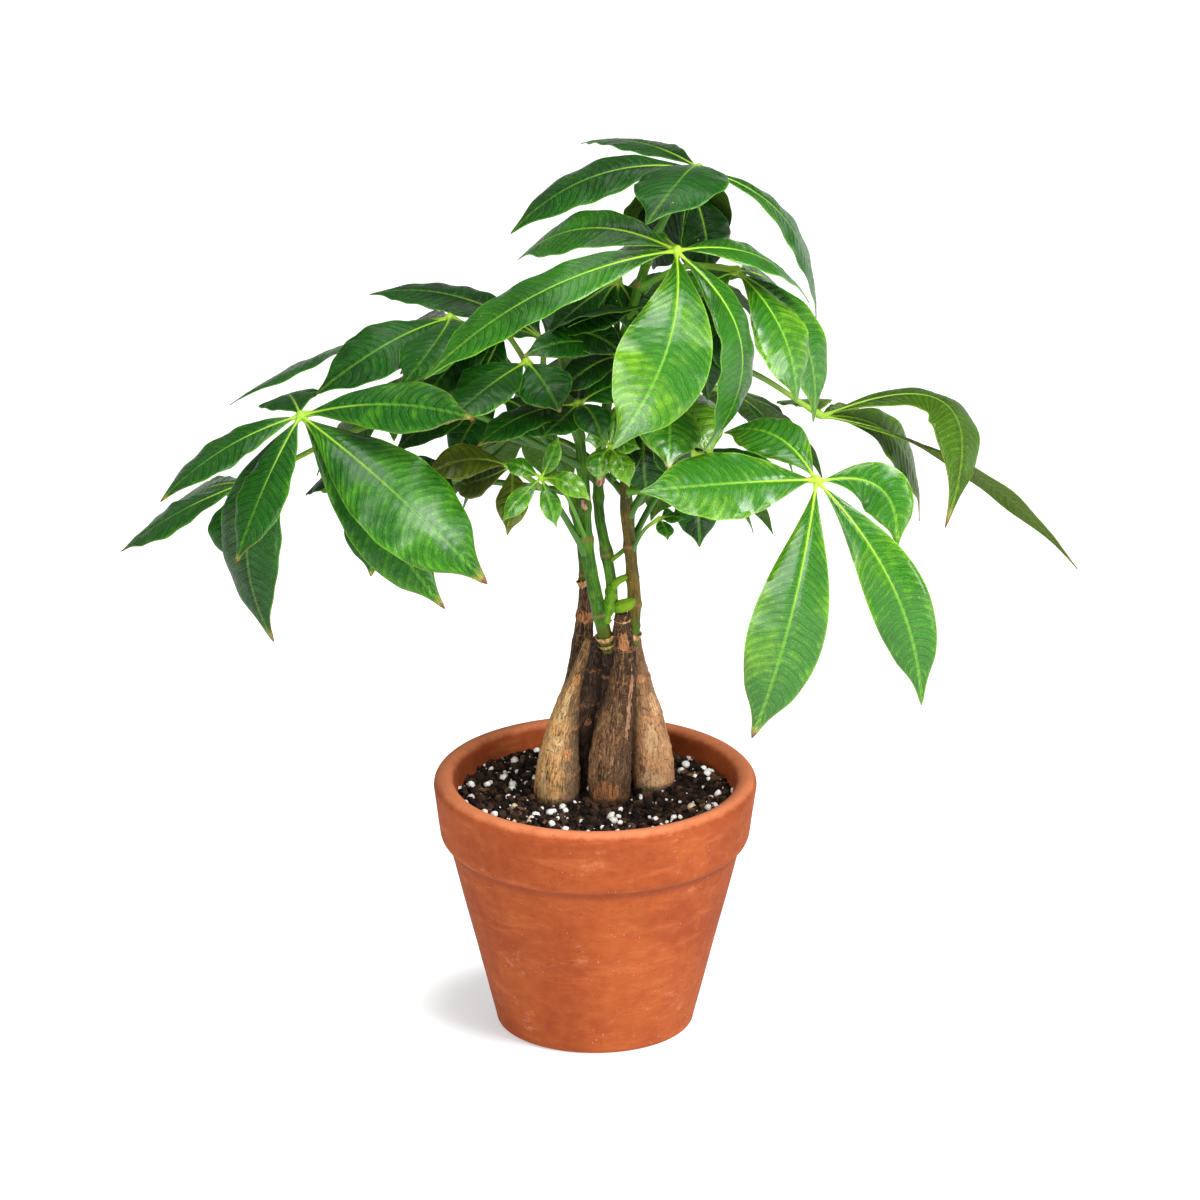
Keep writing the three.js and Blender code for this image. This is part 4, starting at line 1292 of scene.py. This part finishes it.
# %% Leaves in view
LEAVES = [
    Leaf("leaf_crown_front", "shoot_middle", 0.93, "bright", (38, -45, 406), (0.1, -0.55, 0.8), [
        (-30, -55, -78, 44, 14, -11), (12, -17, -95, 34, 12, -22, -25), (-117, -35, -51, 36, 9, 8, 25),
        (-74, 44, -22, 33, 12, 6, 8), (62, 40, -42, 27, 10, -6, -22), (-34, 60, -30, 26, 6, 2)]),
    Leaf("leaf_crown_top", "shoot_middle", 1, "deep", (48.5, 5, 427.5), (0.05, -0.1, 1), [
        (-25, -83, 3.5, 44, 12, -5), (-55, 73, -15.5, 30, 6, 1, 8), (55, 12, -88, 31, 18, -8, 12),
        (-88, 0, -33, 34, 10, 8, -10), (-24, 44, -64, 36, 14, 0), (2, 46, -66, 27, 9, 0)]),
    Leaf("leaf_crown_right", "shoot_middle", 0.86, "bright", (66, -12, 383), (0.35, -0.35, 0.85), [
        (28, -24, -57, 32, 12, 1), (36, 4, -78, 28, 10, -10, 24), (-21, -36, -36, 30, 16, 11),
        (34, 58, -52, 30, 5, -6), (-10, 58, -30, 26, 4, -4)]),
    Leaf("leaf_right_low", "shoot_right", 0.62, "bright", (103, -80, 305), (0.05, -0.8, 0.6), [
        (-82, -28, 5, 37, 4, 0, 15), (-43, 44, 6, 28, 6, 8, 10), (37, -6, -32, 25, 6, -15, 10),
        (-30, -12, -125, 36, 12, -4), (49, -8, -110, 29, 12, -9, 12)], rise=-0.02),
    Leaf("leaf_right_high", "shoot_right", 1, "olive", (105, 28, 295), (0.1, -0.15, 1), [
        (59, -36, -43, 36, 29, -33, -16), (122, 2, -79, 27, 13, -6, -38), (48, 30, -66, 34, 18, -4, 25),
        (40, 60, -34, 30, 6, -1), (-10, 46, -14, 26, 5, -1)]),
    Leaf("leaf_left_outer", "shoot_left", 0.78, "deep", (-137, -50, 325.5), (-0.1, -0.55, 0.8), [
        (87, -42, -68, 47, 15, 3), (81, -38, 13, 29, 3, -5, -4), (-30, -42, -58, 28, 12, -2, 22),
        (-13, -10, -110, 36, 7, 17), (-65, -24, -34, 32, 2, 5, 32), (-9, 56, -15, 30, 6, 1),
        (67, -6, -95, 31, 2, 2)]),
    Leaf("leaf_left_low", "shoot_back_left", 0.62, "deep", (-163, -5, 274), (-0.3, -0.2, 0.9), [
        (-59, -5, -33, 30, 6, -4, 10), (-46, 55, -44, 30, 5, 3), (-4, -23, -34, 26, 9, 1),
        (4, 52, -34, 28, 6, 3)], rise=0.16),
    Leaf("leaf_left_mid", "shoot_back_left", 1, "deep", (-68, 12, 350), (-0.2, -0.35, 0.9), [
        (-103, -10, -40, 32, 2, 7, 34), (-62, -40, -23, 36, 11, -6, -8), (-23, -60, -13, 34, 9, -8, -8),
        (-40, 62, -40, 30, 2, 4), (18, 52, -42, 28, 2, -1)]),
    Leaf("leaf_left_top", "shoot_back_left", 0.78, "deep", (-24, 15, 338), (0, -0.2, 1), [
        (-82, 50, 3, 30, 10, 2, 6), (50, -25, 26, 30, 8, 6), (-56, -26, 8, 28, 9, -2, 10),
        (16, 40, -4, 28, 8, 1), (-20, 64, -8, 30, 7, -5)]),
    Leaf("leaf_centre_dark", "shoot_left", 1, "deep", (-8, -22, 320), (0, -0.3, 0.95), [
        (-47, -24, -12, 28, 6, 1, 15), (-16, -26, -6, 20, 3, -2), (30, 10, 7, 24, 3, -1),
        (12, -28, -9, 18, 7, 0), (2, 46, -3, 22, 2, 0)]),
    Leaf("leaf_young_left", "shoot_left", 0.54, "bright", (-25, -52, 295), (0, -0.75, 0.65), [
        (8, -2, 21, 10, 3, 1), (23, -10, -8, 11, 7, -1), (7, -10, -21, 10, 5, 0),
        (-18, -8, -19, 10, 4, 0), (-17, 4, 6, 10, 6, -1)], slim=0.6),
    Leaf("leaf_young_middle", "shoot_middle", 0.56, "bright", (7, -30, 302), (0.1, -0.7, 0.7), [
        (-5, -10, -14, 13, 4, 2), (9, -12, -16, 12, 5, 0), (14, -4, 0, 11, 5, 0),
        (-12, -4, 4, 11, 4, 1), (2, 6, 17, 13, 1, 0)], slim=0.6),
    Leaf("leaf_young_right", "shoot_right", 0.35, "deep", (30, -14, 259), (0.3, -0.5, 0.8), [
        (12, -6, 2, 8, 2, 0), (4, -14, -5, 9, 2, 0), (8, 10, -2, 8, 2, 0)], slim=0.6),
    Leaf("leaf_centre_right", "shoot_right", 0.85, "bright", (34, -18, 319), (0.2, -0.5, 0.8), [
        (0, -44, -16, 32, 9, 1), (20, -22, -18, 26, 6, -2), (-22, -34, 1, 26, 4, 2),
        (31, 48, -27, 28, 3, -5), (-13, 60, -22, 28, 3, -2)]),
    Leaf("leaf_low_right", "shoot_right", 0.5, "deep", (45, 20, 279), (0.3, -0.2, 0.9), [
        (4, -20, -40, 24, 5, 2), (47, 0, -19, 26, 5, -1), (26, 60, -40, 26, 4, -4),
        (-14, 28, -26, 22, 2, -3)]),
    Leaf("leaf_left_inner", "shoot_left", 0.88, "deep", (-32, -14, 338), (-0.1, -0.45, 0.85), [
        (-36, -18, -16, 28, 7, -3), (-38, -60, -8, 30, 4, -1, 10), (16, -30, -14, 26, 5, 0)]),
    Leaf("leaf_left_behind", "shoot_back_left", 0.45, "deep", (-110, 14, 270), (-0.2, -0.3, 0.9), [
        (5, -26, -41, 26, 9, -4), (46, -18, -7, 30, 8, -2), (-22, 30, -20, 26, 6, -1),
        (-12, 38, -26, 26, 6, 2), (16, 50, -34, 28, 6, 3)], rise=0.02),
    Leaf("leaf_withered", "shoot_left", 0.48, "withered", (-39, -20, 288), (-0.2, -0.5, 0.8), [
        (-41, -10, -2, 19, 8, 1), (-2, -22, -26, 16, 7, -3), (-28, 30, -22, 18, -1, -1)]),
]
print(len(LEAVES), "leaves in view")

# %% Leaves at the back
FAN = math.radians(100)  # how far the outermost leaflets turn from the way the leaf heads
SHORTENED = 0.3  # how much shorter those are, as a share
BACK_WIDTH = 0.36  # width and bow as shares of a leaflet's length
BACK_BOW = 0.12
TILT = 0.35  # how far a leaf at the back tips the way it heads


def back_leaf(name, shoot, foot, hub, heading, count, reach, droop):
    """A leaf at the back, its leaflets fanned about the way that it heads."""
    heading = math.radians(heading)
    leaflets = []
    for i in range(count):
        share = 2 * i / (count - 1) - 1
        turn = heading + FAN * share
        fall = math.radians(droop + 8 * (i * 0.618 % 1))
        length = reach * (1 - SHORTENED * share ** 2)
        flat = length * math.cos(fall)
        tip = (flat * math.cos(turn), flat * math.sin(turn), -length * math.sin(fall))
        leaflets.append((*tip, BACK_WIDTH * length, BACK_BOW * length))
    face = (TILT * math.cos(heading), TILT * math.sin(heading), 0.9)
    return Leaf(name, shoot, foot, "deep", hub, face, leaflets)


LEAVES += [
    back_leaf("leaf_back_high", "shoot_middle", 0.82, (38, 53, 357), 64, 5, 78, 36),
    back_leaf("leaf_back_centre", "shoot_back", 1, (2, 64, 316), 96, 6, 80, 44),
    back_leaf("leaf_back_left", "shoot_back_left", 0.9, (-84, 65, 302), 122, 6, 79, 44),
    back_leaf("leaf_back_right", "shoot_back", 0.85, (62, 64, 294), 64, 5, 74, 42),
    back_leaf("leaf_back_low", "shoot_back", 0.6, (-34, 70, 270), 112, 5, 70, 42),
    back_leaf("leaf_back_low_right", "shoot_back", 0.45, (46, 72, 252), 70, 5, 62, 40),
]
print("with those at the back,", len(LEAVES), "leaves")

# %% Small leaves deep in the crown
# They fill the crown between the others and have no solid of their own.
INNER_LEAVES = [
    ("inner_leaf_top", "shoot_middle", 0.74, (10.8, 20, 366), (-0.2, -0.5, 0.85), [
        (-6.6, -10, -22, 21, 5, 2), (-34, -8, -27, 20, 7, -3), (14, -12, -24, 18, 5, 0)]),
    ("inner_leaf_high", "shoot_middle", 0.98, (45, 22, 412), (0, -0.5, 0.8), [
        (-18, 10, -46, 32, 6, 2), (6, 12, -50, 28, 6, -2)]),
    ("inner_leaf_left_high", "shoot_left", 0.97, (-20.6, 8, 341.5), (0, -0.4, 0.9), [
        (39, -10, 17, 22, 6, 2), (34, -14, -4, 22, 7, -2)]),
    ("inner_leaf_middle", "shoot_middle", 0.68, (12, 4, 334), (0, -0.4, 0.9), [
        (-46, -18, 6, 19, 8, 2), (-30, -26, -10, 20, 8, -2), (16, -26, -18, 22, 7, 0)]),
    ("inner_leaf_left", "shoot_back_left", 0.72, (-42, 8, 345), (-0.2, -0.4, 0.9), [
        (-49, -18, -15, 24, 8, 3), (-40, -24, -32, 25, 9, 0), (-16, -26, -36, 24, 9, -2)]),
    ("inner_leaf_left_low", "shoot_back_left", 0.5, (-44, 6, 312), (-0.2, -0.4, 0.9), [
        (-50, -12, -24, 23, 7, 2), (-22, -20, -28, 23, 8, 0), (24, -18, -14, 22, 7, 0)]),
    ("inner_leaf_right", "shoot_middle", 0.7, (42, 24, 352), (0.2, -0.4, 0.85), [
        (11, -16, -42, 26, 9, 2), (27, -12, -37, 25, 9, -2), (-6, -20, -34, 22, 8, 0)]),
    ("inner_leaf_low", "shoot_right", 0.6, (24, -2, 303), (0, -0.5, 0.85), [
        (1, -10, -34, 21, 6, 2), (-16, -12, -26, 18, 6, 0), (18, -8, -26, 20, 6, 0)]),
]
for name, shoot_name, foot, *rest in INNER_LEAVES:
    LEAVES.append(Leaf(name, shoot_name, foot, "deep", *rest, inner=True))
print(len(LEAVES), "leaves with", sum(len(leaf.leaflets) for leaf in LEAVES), "leaflets")

# %% [markdown]
# ## Blades, ribs and stalks
# A leaflet is a thin blade that hangs in a bow from its rib, is widest past its middle,
# and ends in a drip tip. Side veins leave the rib in pairs and pull the blade down into
# shallow furrows, so it looks quilted, and its margin waves a little. Each blade starts
# as a flat grid with a thickness from Solidify, and is laid along its rib as the rods are.

# %% The way a blade hangs
BLADE_START = 1.4  # how far from the knob's middle a blade starts
BLADE_BELLY = 0.57  # where along its length a blade is widest
TWIST_END = 0.4  # where along it the twist is complete
ROUTE_STEPS = 97


def blade_route(leaf, dx, dy, dz, _, bow, sway=0, twist=0):
    """The route of a blade's rib, whose up turns the blade's face along with it."""
    chord = np.array([dx, dy, dz], float)
    along = unit(chord)
    face = np.array(leaf.face, float)
    up = unit(face - along * (face @ along))
    hub = np.array(leaf.hub, float)
    start = hub + along * BLADE_START * leaf.slim
    end = hub + chord
    bend = (start + end) / 2 + 2 * bow * up + 2 * sway * np.cross(along, up)
    t = np.linspace(0, 1, ROUTE_STEPS)[:, None]
    centres = (1 - t) ** 2 * start + 2 * t * (1 - t) * bend + t ** 2 * end
    tangents = unit(2 * (1 - t) * (bend - start) + 2 * t * (end - bend))
    lifts = np.empty_like(centres)
    normal = face
    for i, tangent in enumerate(tangents):
        normal = unit(normal - tangent * (normal @ tangent))
        turn = math.radians(twist) * min(1, t[i, 0] / TWIST_END)
        lifts[i] = normal * math.cos(turn) + np.cross(tangent, normal) * math.sin(turn)
    return Route(centres, np.cross(tangents, lifts), lifts)


def half_width(t, width):
    """Half of a blade's width along it: a long taper to the knob, a belly, a drip tip."""
    rise = np.sin(math.pi / 2 * np.clip(t / BLADE_BELLY, 0, 1)) ** 1.25
    fall = np.cos(math.pi / 2 * np.clip((t - BLADE_BELLY) / (1 - BLADE_BELLY), 0, 1)) ** 0.95
    drip = 1 - 0.34 * eased(t, 0.8, 0.93) * (1 - eased(t, 0.95, 1))
    share = np.where(t < BLADE_BELLY, rise, fall * drip)
    return np.maximum(0.75 - 0.5 * t, width / 2 * share)


print("on its way a 40 mm blade is", np.round(2 * half_width(np.array([0.2, 0.57, 0.9]), 40), 1), "mm wide")

# %% Flat blanks for the blades
COLUMNS = 16
SHEET = 0.5  # how thick a blank is


def leaflet_blank(rows):
    """A flat sheet from -1 to 1 across and 0 to 1 along, its columns crowded at the rib."""
    sizes = dict(x_subdivisions=COLUMNS, y_subdivisions=rows, size=2 * MM)
    piece = started(bpy.ops.mesh.primitive_grid_add, **sizes)
    apply_modifier(piece, "SOLIDIFY", thickness=SHEET * MM, offset=-1, use_even_offset=False)
    x, y, z = points_of(piece).T
    crowded = np.sign(x) * (0.4 * np.abs(x) + 0.6 * np.abs(x) ** 2)
    set_points(piece, np.column_stack([crowded, (y + 1) / 2, z]))
    piece.hide_render = True
    return piece


SHEETS = {32: leaflet_blank(24), 70: leaflet_blank(60), 999: leaflet_blank(88)}  # by longest leaflet
blanks += SHEETS.values()
print("sheets with", [len(blank.data.polygons) for blank in SHEETS.values()], "faces")

# %% Quilted blades
VEIN_SPACING = 4.7
QUILT = 0.42  # how high the blade rises between two veins
FULL_QUILT = 26  # the width from which a blade is quilted in full
FOLD = 0.12  # how far its edges hang, as a share of its half width
GROOVE = 0.35  # how deep the rib's groove is at the knob
THIN = 0.26  # how much thinner the blade is at its edge

growth = np.random.default_rng(58)


def quilting(flat, size, t, pairs, slant, shift, left):
    """The phase of the veins, and how high the blade rises between them from 0 to 1."""
    stray = 0.34 * noise_at(flat, 15, 7) + 0.2 * noise_at(flat, 5, 9)
    phase = pairs * (t - slant * (0.1 * size + 0.2 * size ** 2.4)) + shift + stray * eased(size, 0.05, 0.4)
    phase = phase + np.where(left, 0.5, 0) * eased(size, 0, 0.1)
    furrow = np.abs(np.sin(math.pi * phase)) ** 0.6 * (0.7 + 0.8 * noise_at(flat, 8, 21))
    bulge = 0.5 * noise_at(flat, 16, 31) * eased(size, 0, 0.3)
    across = eased(size, 0.03, 0.22) * (1 - 0.75 * eased(size, 0.8, 1))
    return phase, (furrow + bulge) * (across * eased(t, 0.03, 0.16) * (1 - eased(t, 0.86, 0.98)))


def blade(leaf, leaflet, tone, dryness):
    """One leaflet, laid along its rib, with furrows at its veins and a wavy margin."""
    length, width = math.hypot(*leaflet[:3]), leaflet[3]
    blank = next(sheet for limit, sheet in SHEETS.items() if length <= limit)
    route = blade_route(leaf, *leaflet)
    piece = copy_of(blank)
    u, t, z = points_of(blank).T
    under, left, size = z < -0.1, u < 0, abs(u)
    half = half_width(t, width)
    off, along = u * half, t * route.length
    shift, waves, wave_start, side_start, curl = growth.uniform(0, 1, 5)
    flat = np.column_stack([off, along, 0 * t + 40 * shift])
    pairs = max(4, route.length / VEIN_SPACING)
    phase, quilt = quilting(flat, size, t, pairs, width / route.length, shift, left)
    quilt = QUILT * min(1, width / FULL_QUILT) * quilt
    wavy = np.sin(2 * math.pi * ((4.5 + 2 * waves) * t + wave_start + np.where(left, side_start, 0)))
    slow = np.sin(2 * math.pi * (1.6 * t + wave_start + np.where(left, 0.4, 0)))
    margin = half * size ** 2.5 * (0.03 * wavy + 0.06 * slow)
    hang = FOLD * half * (0.35 * size + 0.65 * size ** 2) * (1 + 0.8 * (curl - 0.5))
    groove = GROOVE * np.exp(-(off / 1.1) ** 2)
    thick = (SHEET - THIN * size) * (1 if leaf.slim == 1 else 0.8)
    set_points(piece, route.place(t, off, quilt + margin - hang - groove * (1 - t) - thick * under))
    dry = growth.random() < dryness
    set_marks(piece, "leaf_place", off, along, half * (1 - size))
    set_marks(piece, "leaf_veins", phase, size, t)
    set_marks(piece, "leaflet_look", tone, dry, under)
    return piece, route


print("a leaflet 120 mm long has", round(120 / VEIN_SPACING), "pairs of veins")

# %% Ribs, stalks and knobs
RIB_SUNK = 0.3
FOOT_STEPS = 1000  # how finely a stalk's foot is placed along its shoot
STALK_RADII = (1.7, 1.45, 1.2)  # at its foot, its bend and its knob
KNOB_RADIUS = 2.1
LOBE = 0.75


def rib(leaf, leaflet, route):
    """The midrib: a slim rod half sunk in the blade, with a swollen root at the knob."""
    strong = leaf.slim * (0.8 + 0.2 * min(1, leaflet[3] / 30))

    def radius(share, angle, along):
        return strong * (0.68 - 0.52 * share ** 0.65 + 0.8 * np.exp(-(along / 2.6) ** 2))

    sunk = Route(route.centres - route.up * RIB_SUNK, route.across, route.up)
    piece, share, _ = lay_rod(rib_rod, sunk, radius)
    set_marks(piece, "stem", 0, 0, 1 - share)
    return piece


def stalk(leaf):
    """The stalk: it leaves the shoot outward, climbs, and bends over into the knob."""
    foot = through(SHOOTS[leaf.shoot], FOOT_STEPS + 1)[round(leaf.foot * FOOT_STEPS)]
    hub = np.array(leaf.hub, float)
    bend = (foot + hub) / 2 + (0, 0, np.linalg.norm(hub - foot) * leaf.rise)
    path = [(*place, radius * leaf.slim) for place, radius in zip((foot, bend, hub), STALK_RADII)]
    route = stem_route(path, ROUTE_STEPS)

    def radius(share, angle, along):
        joints = 0.75 * np.exp(-((route.length - along) / 5) ** 2) + 0.8 * np.exp(-((along - 2.4) / 3.4) ** 2)
        return widths(path, share) + leaf.slim * joints

    piece, share, _ = lay_rod(stalk_rod, route, radius)
    set_marks(piece, "stem", 0, 0.25 * (1 - share), share)
    return piece


def knob(leaf):
    """The knob where leaflets meet, lobed towards each of them."""
    piece = started(bpy.ops.mesh.primitive_ico_sphere_add, subdivisions=3, radius=MM)
    ways = points_of(piece)
    lobes = sum(np.exp(-(1 - ways @ unit(np.array(leaflet[:3], float))) * 9) for leaflet in leaf.leaflets)
    shape = ways * (leaf.slim * (KNOB_RADIUS + LOBE * np.minimum(lobes, 1)))[:, None]
    set_points(piece, shape + np.array(leaf.hub))
    set_marks(piece, "grain", *shape.T)
    set_marks(piece, "stem", 0 * lobes, 0, 1)
    return piece


print("a stalk grows from", STALK_RADII[-1], "to", STALK_RADII[0], "mm in radius")

# %% Grow all the leaves
DRYNESS = {"leaf_left_outer": 1, "leaf_right_high": 0.6, "leaf_withered": 1, "leaf_right_low": 0.4}
TONE = {"bright": [0.66], "deep": [0.34], "olive": [0.4], "withered": [0.3]}
TONES = {  # how fresh each leaflet is, from 0 to 1
    "leaf_crown_front": [0.58, 0.3, 0.3, 0.24, 0.42, 0.2], "leaf_crown_top": [0.4, 0.3, 0.5, 0.3, 0.2, 0.25],
    "leaf_crown_right": [0.54, 0.48, 0.4, 0.4, 0.4], "leaf_right_low": [0.56, 0.46, 0.53, 0.6, 0.52],
    "leaf_left_outer": [0.62, 0.5, 0.4, 0.3, 0.42, 0.3, 0.6],
}
USUAL_DRYNESS = 0.2
# Painted shade: leaves deep in the crown are made darker.
INNER_DARKER = 0.12

grown = {}
for leaf in LEAVES:
    sheets, stems = [], [stalk(leaf), knob(leaf)]
    tones = TONES.get(leaf.name, TONE[leaf.look])
    spread_of_tone = 0.06 if len(tones) > 1 else 0.2
    for i, leaflet in enumerate(leaf.leaflets):
        tone = tones[i % len(tones)] + growth.uniform(-spread_of_tone, spread_of_tone)
        # Leaves deep in the crown get a painted shade.
        tone = tone - (INNER_DARKER if leaf.inner else 0)
        sheet, route = blade(leaf, leaflet, tone, DRYNESS.get(leaf.name, USUAL_DRYNESS))
        sheets.append(sheet)
        stems.append(rib(leaf, leaflet, route))
    grown[leaf.name] = joined(sheets), joined(stems)
print("the blades have", sum(len(sheet.data.polygons) for sheet, _ in grown.values()), "faces")

# %% [markdown]
# ## Leaf green
# A leaf isn't one green. It is deeper along its middle, pale on each vein and at its very
# edge, dull olive underneath, and brown where its tip has dried. Between the veins it is a
# little fresher and painted paler as a sheen, and its furrows are painted darker as shade.
# A vein is a line of one phase, a number that grows by one from each vein to the next and
# that the blade carries on its points. So the lines here fall exactly into the furrows of
# the shape. A net of tiny veins between them comes from cells.

# %% The finish of the leaves


def leaf_finish(name, gloss, deep, middle, fresh, vein, back):
    """The green of a blade in five colours, and how much glossier a fresher one is."""
    finish = Finish(name, Specular_IOR_Level=0.17, Coat_Roughness=0.24)
    off, _, edge = finish.marks("leaf_place")
    phase, size, t = finish.marks("leaf_veins")
    tone, dry, under = finish.marks("leaflet_look")
    flat = finish.grain(1, 1, 0, name="leaf_place")
    broad, patches, pitted = finish.cloud(26), finish.cloud(13, detail=2), finish.cloud(1.7)
    mottle = finish.cloud(5, detail=5, roughness=0.62)
    wave = phase.math("PINGPONG", 0.5) * 2
    stray = finish.cloud(2.4, flat, 4) * 0.16 - 0.08
    strayed = wave + stray
    lines = strayed.ease(0.16, 0.03)
    half_way = (phase * 2 + 0.5).math("PINGPONG", 0.5) * 2
    minor = (half_way + stray * 2).ease(0.22, 0.02) * size.ease(0.02, 0.2)
    net = finish.cells(1.5, flat, "DISTANCE_TO_EDGE").ease(0.14, 0.02)
    inside = edge.ease(0.2, 1.8)
    beside = off.math("ABSOLUTE")
    share = tone + (broad - 0.5) * 1.1 + (mottle - 0.5) * 0.5 + wave * 0.05 - 0.02
    share = share + edge.ease(5, 0.5) * 0.16 - beside.ease(5, 1) * 0.06
    nearly = t + (mottle - 0.5) * 0.05 + (tone - 0.4) * 0.02
    scorch = (edge + (mottle - 0.5) * 2.4).ease(0.5, 0.1) * t.ease(0.66, 0.9)
    brown = nearly.ease(0.965, 0.99).math("MAXIMUM", scorch * 0.6) * dry
    nicks = finish.cells(7).ease(0.07, 0.04) * finish.cloud(17).ease(0.5, 0.6)
    tint = finish.layers(
        deep,
        (middle, share.ease(0, 0.5)),
        (fresh, share.ease(0.5, 1)),
        # Painted shade darkens the furrows along the veins, and a painted sheen lightens the bulges between
        # them.
        (deep, strayed.ease(0.3, 0.02) * inside * patches.ease(0.34, 0.66) * 0.34),
        (vein, strayed.ease(0.4, 0.9) * inside * mottle.ease(0.46, 0.66) * tone * 0.24),
        (vein, lines * inside * 0.16),
        (vein, minor * inside * 0.07),
        (deep, net * 0.16),
        (vein, beside.ease(1.1, 0.4) * 0.35),
        (vein, edge.ease(0.75, 0.15) * 0.55),
        (back, under * (0.72 + lines * 0.1)),
        ((188, 176, 84), nearly.ease(0.93, 0.985) * dry * 0.7),
        ((128, 82, 44), brown),
        ((186, 200, 130), nicks * 0.5),
    )
    relief = strayed.ease(0, 0.38) * inside * 0.7 + wave * 0.3 - net * 0.25 - minor * 0.35
    finish.feed(Base_Color=tint, Roughness=0.34 + mottle * 0.16 + under * 0.22 + brown * 0.3,
                Coat_Weight=(0.1 + tone * gloss) * (1 - under),
                Normal=finish.bump(relief + mottle * 0.9 + pitted * 0.35, 0.7))
    return finish


LOOKS = {
    "bright": (leaf_finish("bright_leaf", 1.2, (14, 66, 2), (40, 114, 4), (112, 170, 20),
                           (138, 192, 54), (84, 124, 8)), "leaf_bright"),
    "deep": (leaf_finish("deep_leaf", 0.42, (4, 42, 2), (16, 84, 4), (72, 142, 12),
                         (104, 160, 36), (66, 102, 4)), "leaf_deep"),
    "olive": (leaf_finish("olive_leaf", 0.12, (36, 64, 2), (66, 108, 4), (116, 162, 10),
                          (140, 176, 36), (84, 114, 8)), "leaf_deep"),
    "withered": (leaf_finish("withered_leaf", 0.3, (56, 72, 8), (92, 112, 18), (138, 132, 40),
                             (160, 158, 66), (118, 106, 30)), "leaf_withered"),
}
print("leaf finishes:", ", ".join(LOOKS))

# %% The finish of ribs and stalks


def rib_finish(name, middle, pale):
    """The green of ribs, stalks and knobs, palest towards the knob."""
    finish = Finish(name)
    streaks = finish.cloud(0.7, finish.grain(1, 1, 0.1))
    age, share = finish.marks("stem")[1:]
    paler = (streaks * 0.3 + share * 0.55 + finish.cloud(14) * 0.15).ease(0.35, 0.8)
    tint = finish.layers(middle, (pale, paler), ((66, 100, 24), age * 2))
    finish.feed(Base_Color=tint, Roughness=0.42 + streaks * 0.16, Normal=finish.bump(streaks, 0.15))
    return finish


bright_rib = rib_finish("bright_rib", (84, 148, 14), (158, 200, 44))
deep_rib = rib_finish("deep_rib", (44, 104, 10), (140, 180, 40))
for leaf in LEAVES:
    sheet, stem = grown[leaf.name]
    solids = [] if leaf.inner else [leaf.name]
    keep(sheet, leaf.name + "_blades", *LOOKS[leaf.look], *solids, smooth=75)
    rib_look = bright_rib if leaf.look == "bright" else deep_rib
    keep(stem, leaf.name + "_stalk", rib_look, "stem_green", *solids, smooth=75)
print("leaves:", sum(count for name, count in made.items() if "leaf" in name), "triangles")

# %% [markdown]
# ## The end
# The blanks have done their work and go. The box round all that is shown is kept.

# %% Finish
for blank in blanks:
    bpy.data.objects.remove(blank)
shown_box = [list(corner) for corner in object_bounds()]
print("triangles in all:", sum(made.values()))
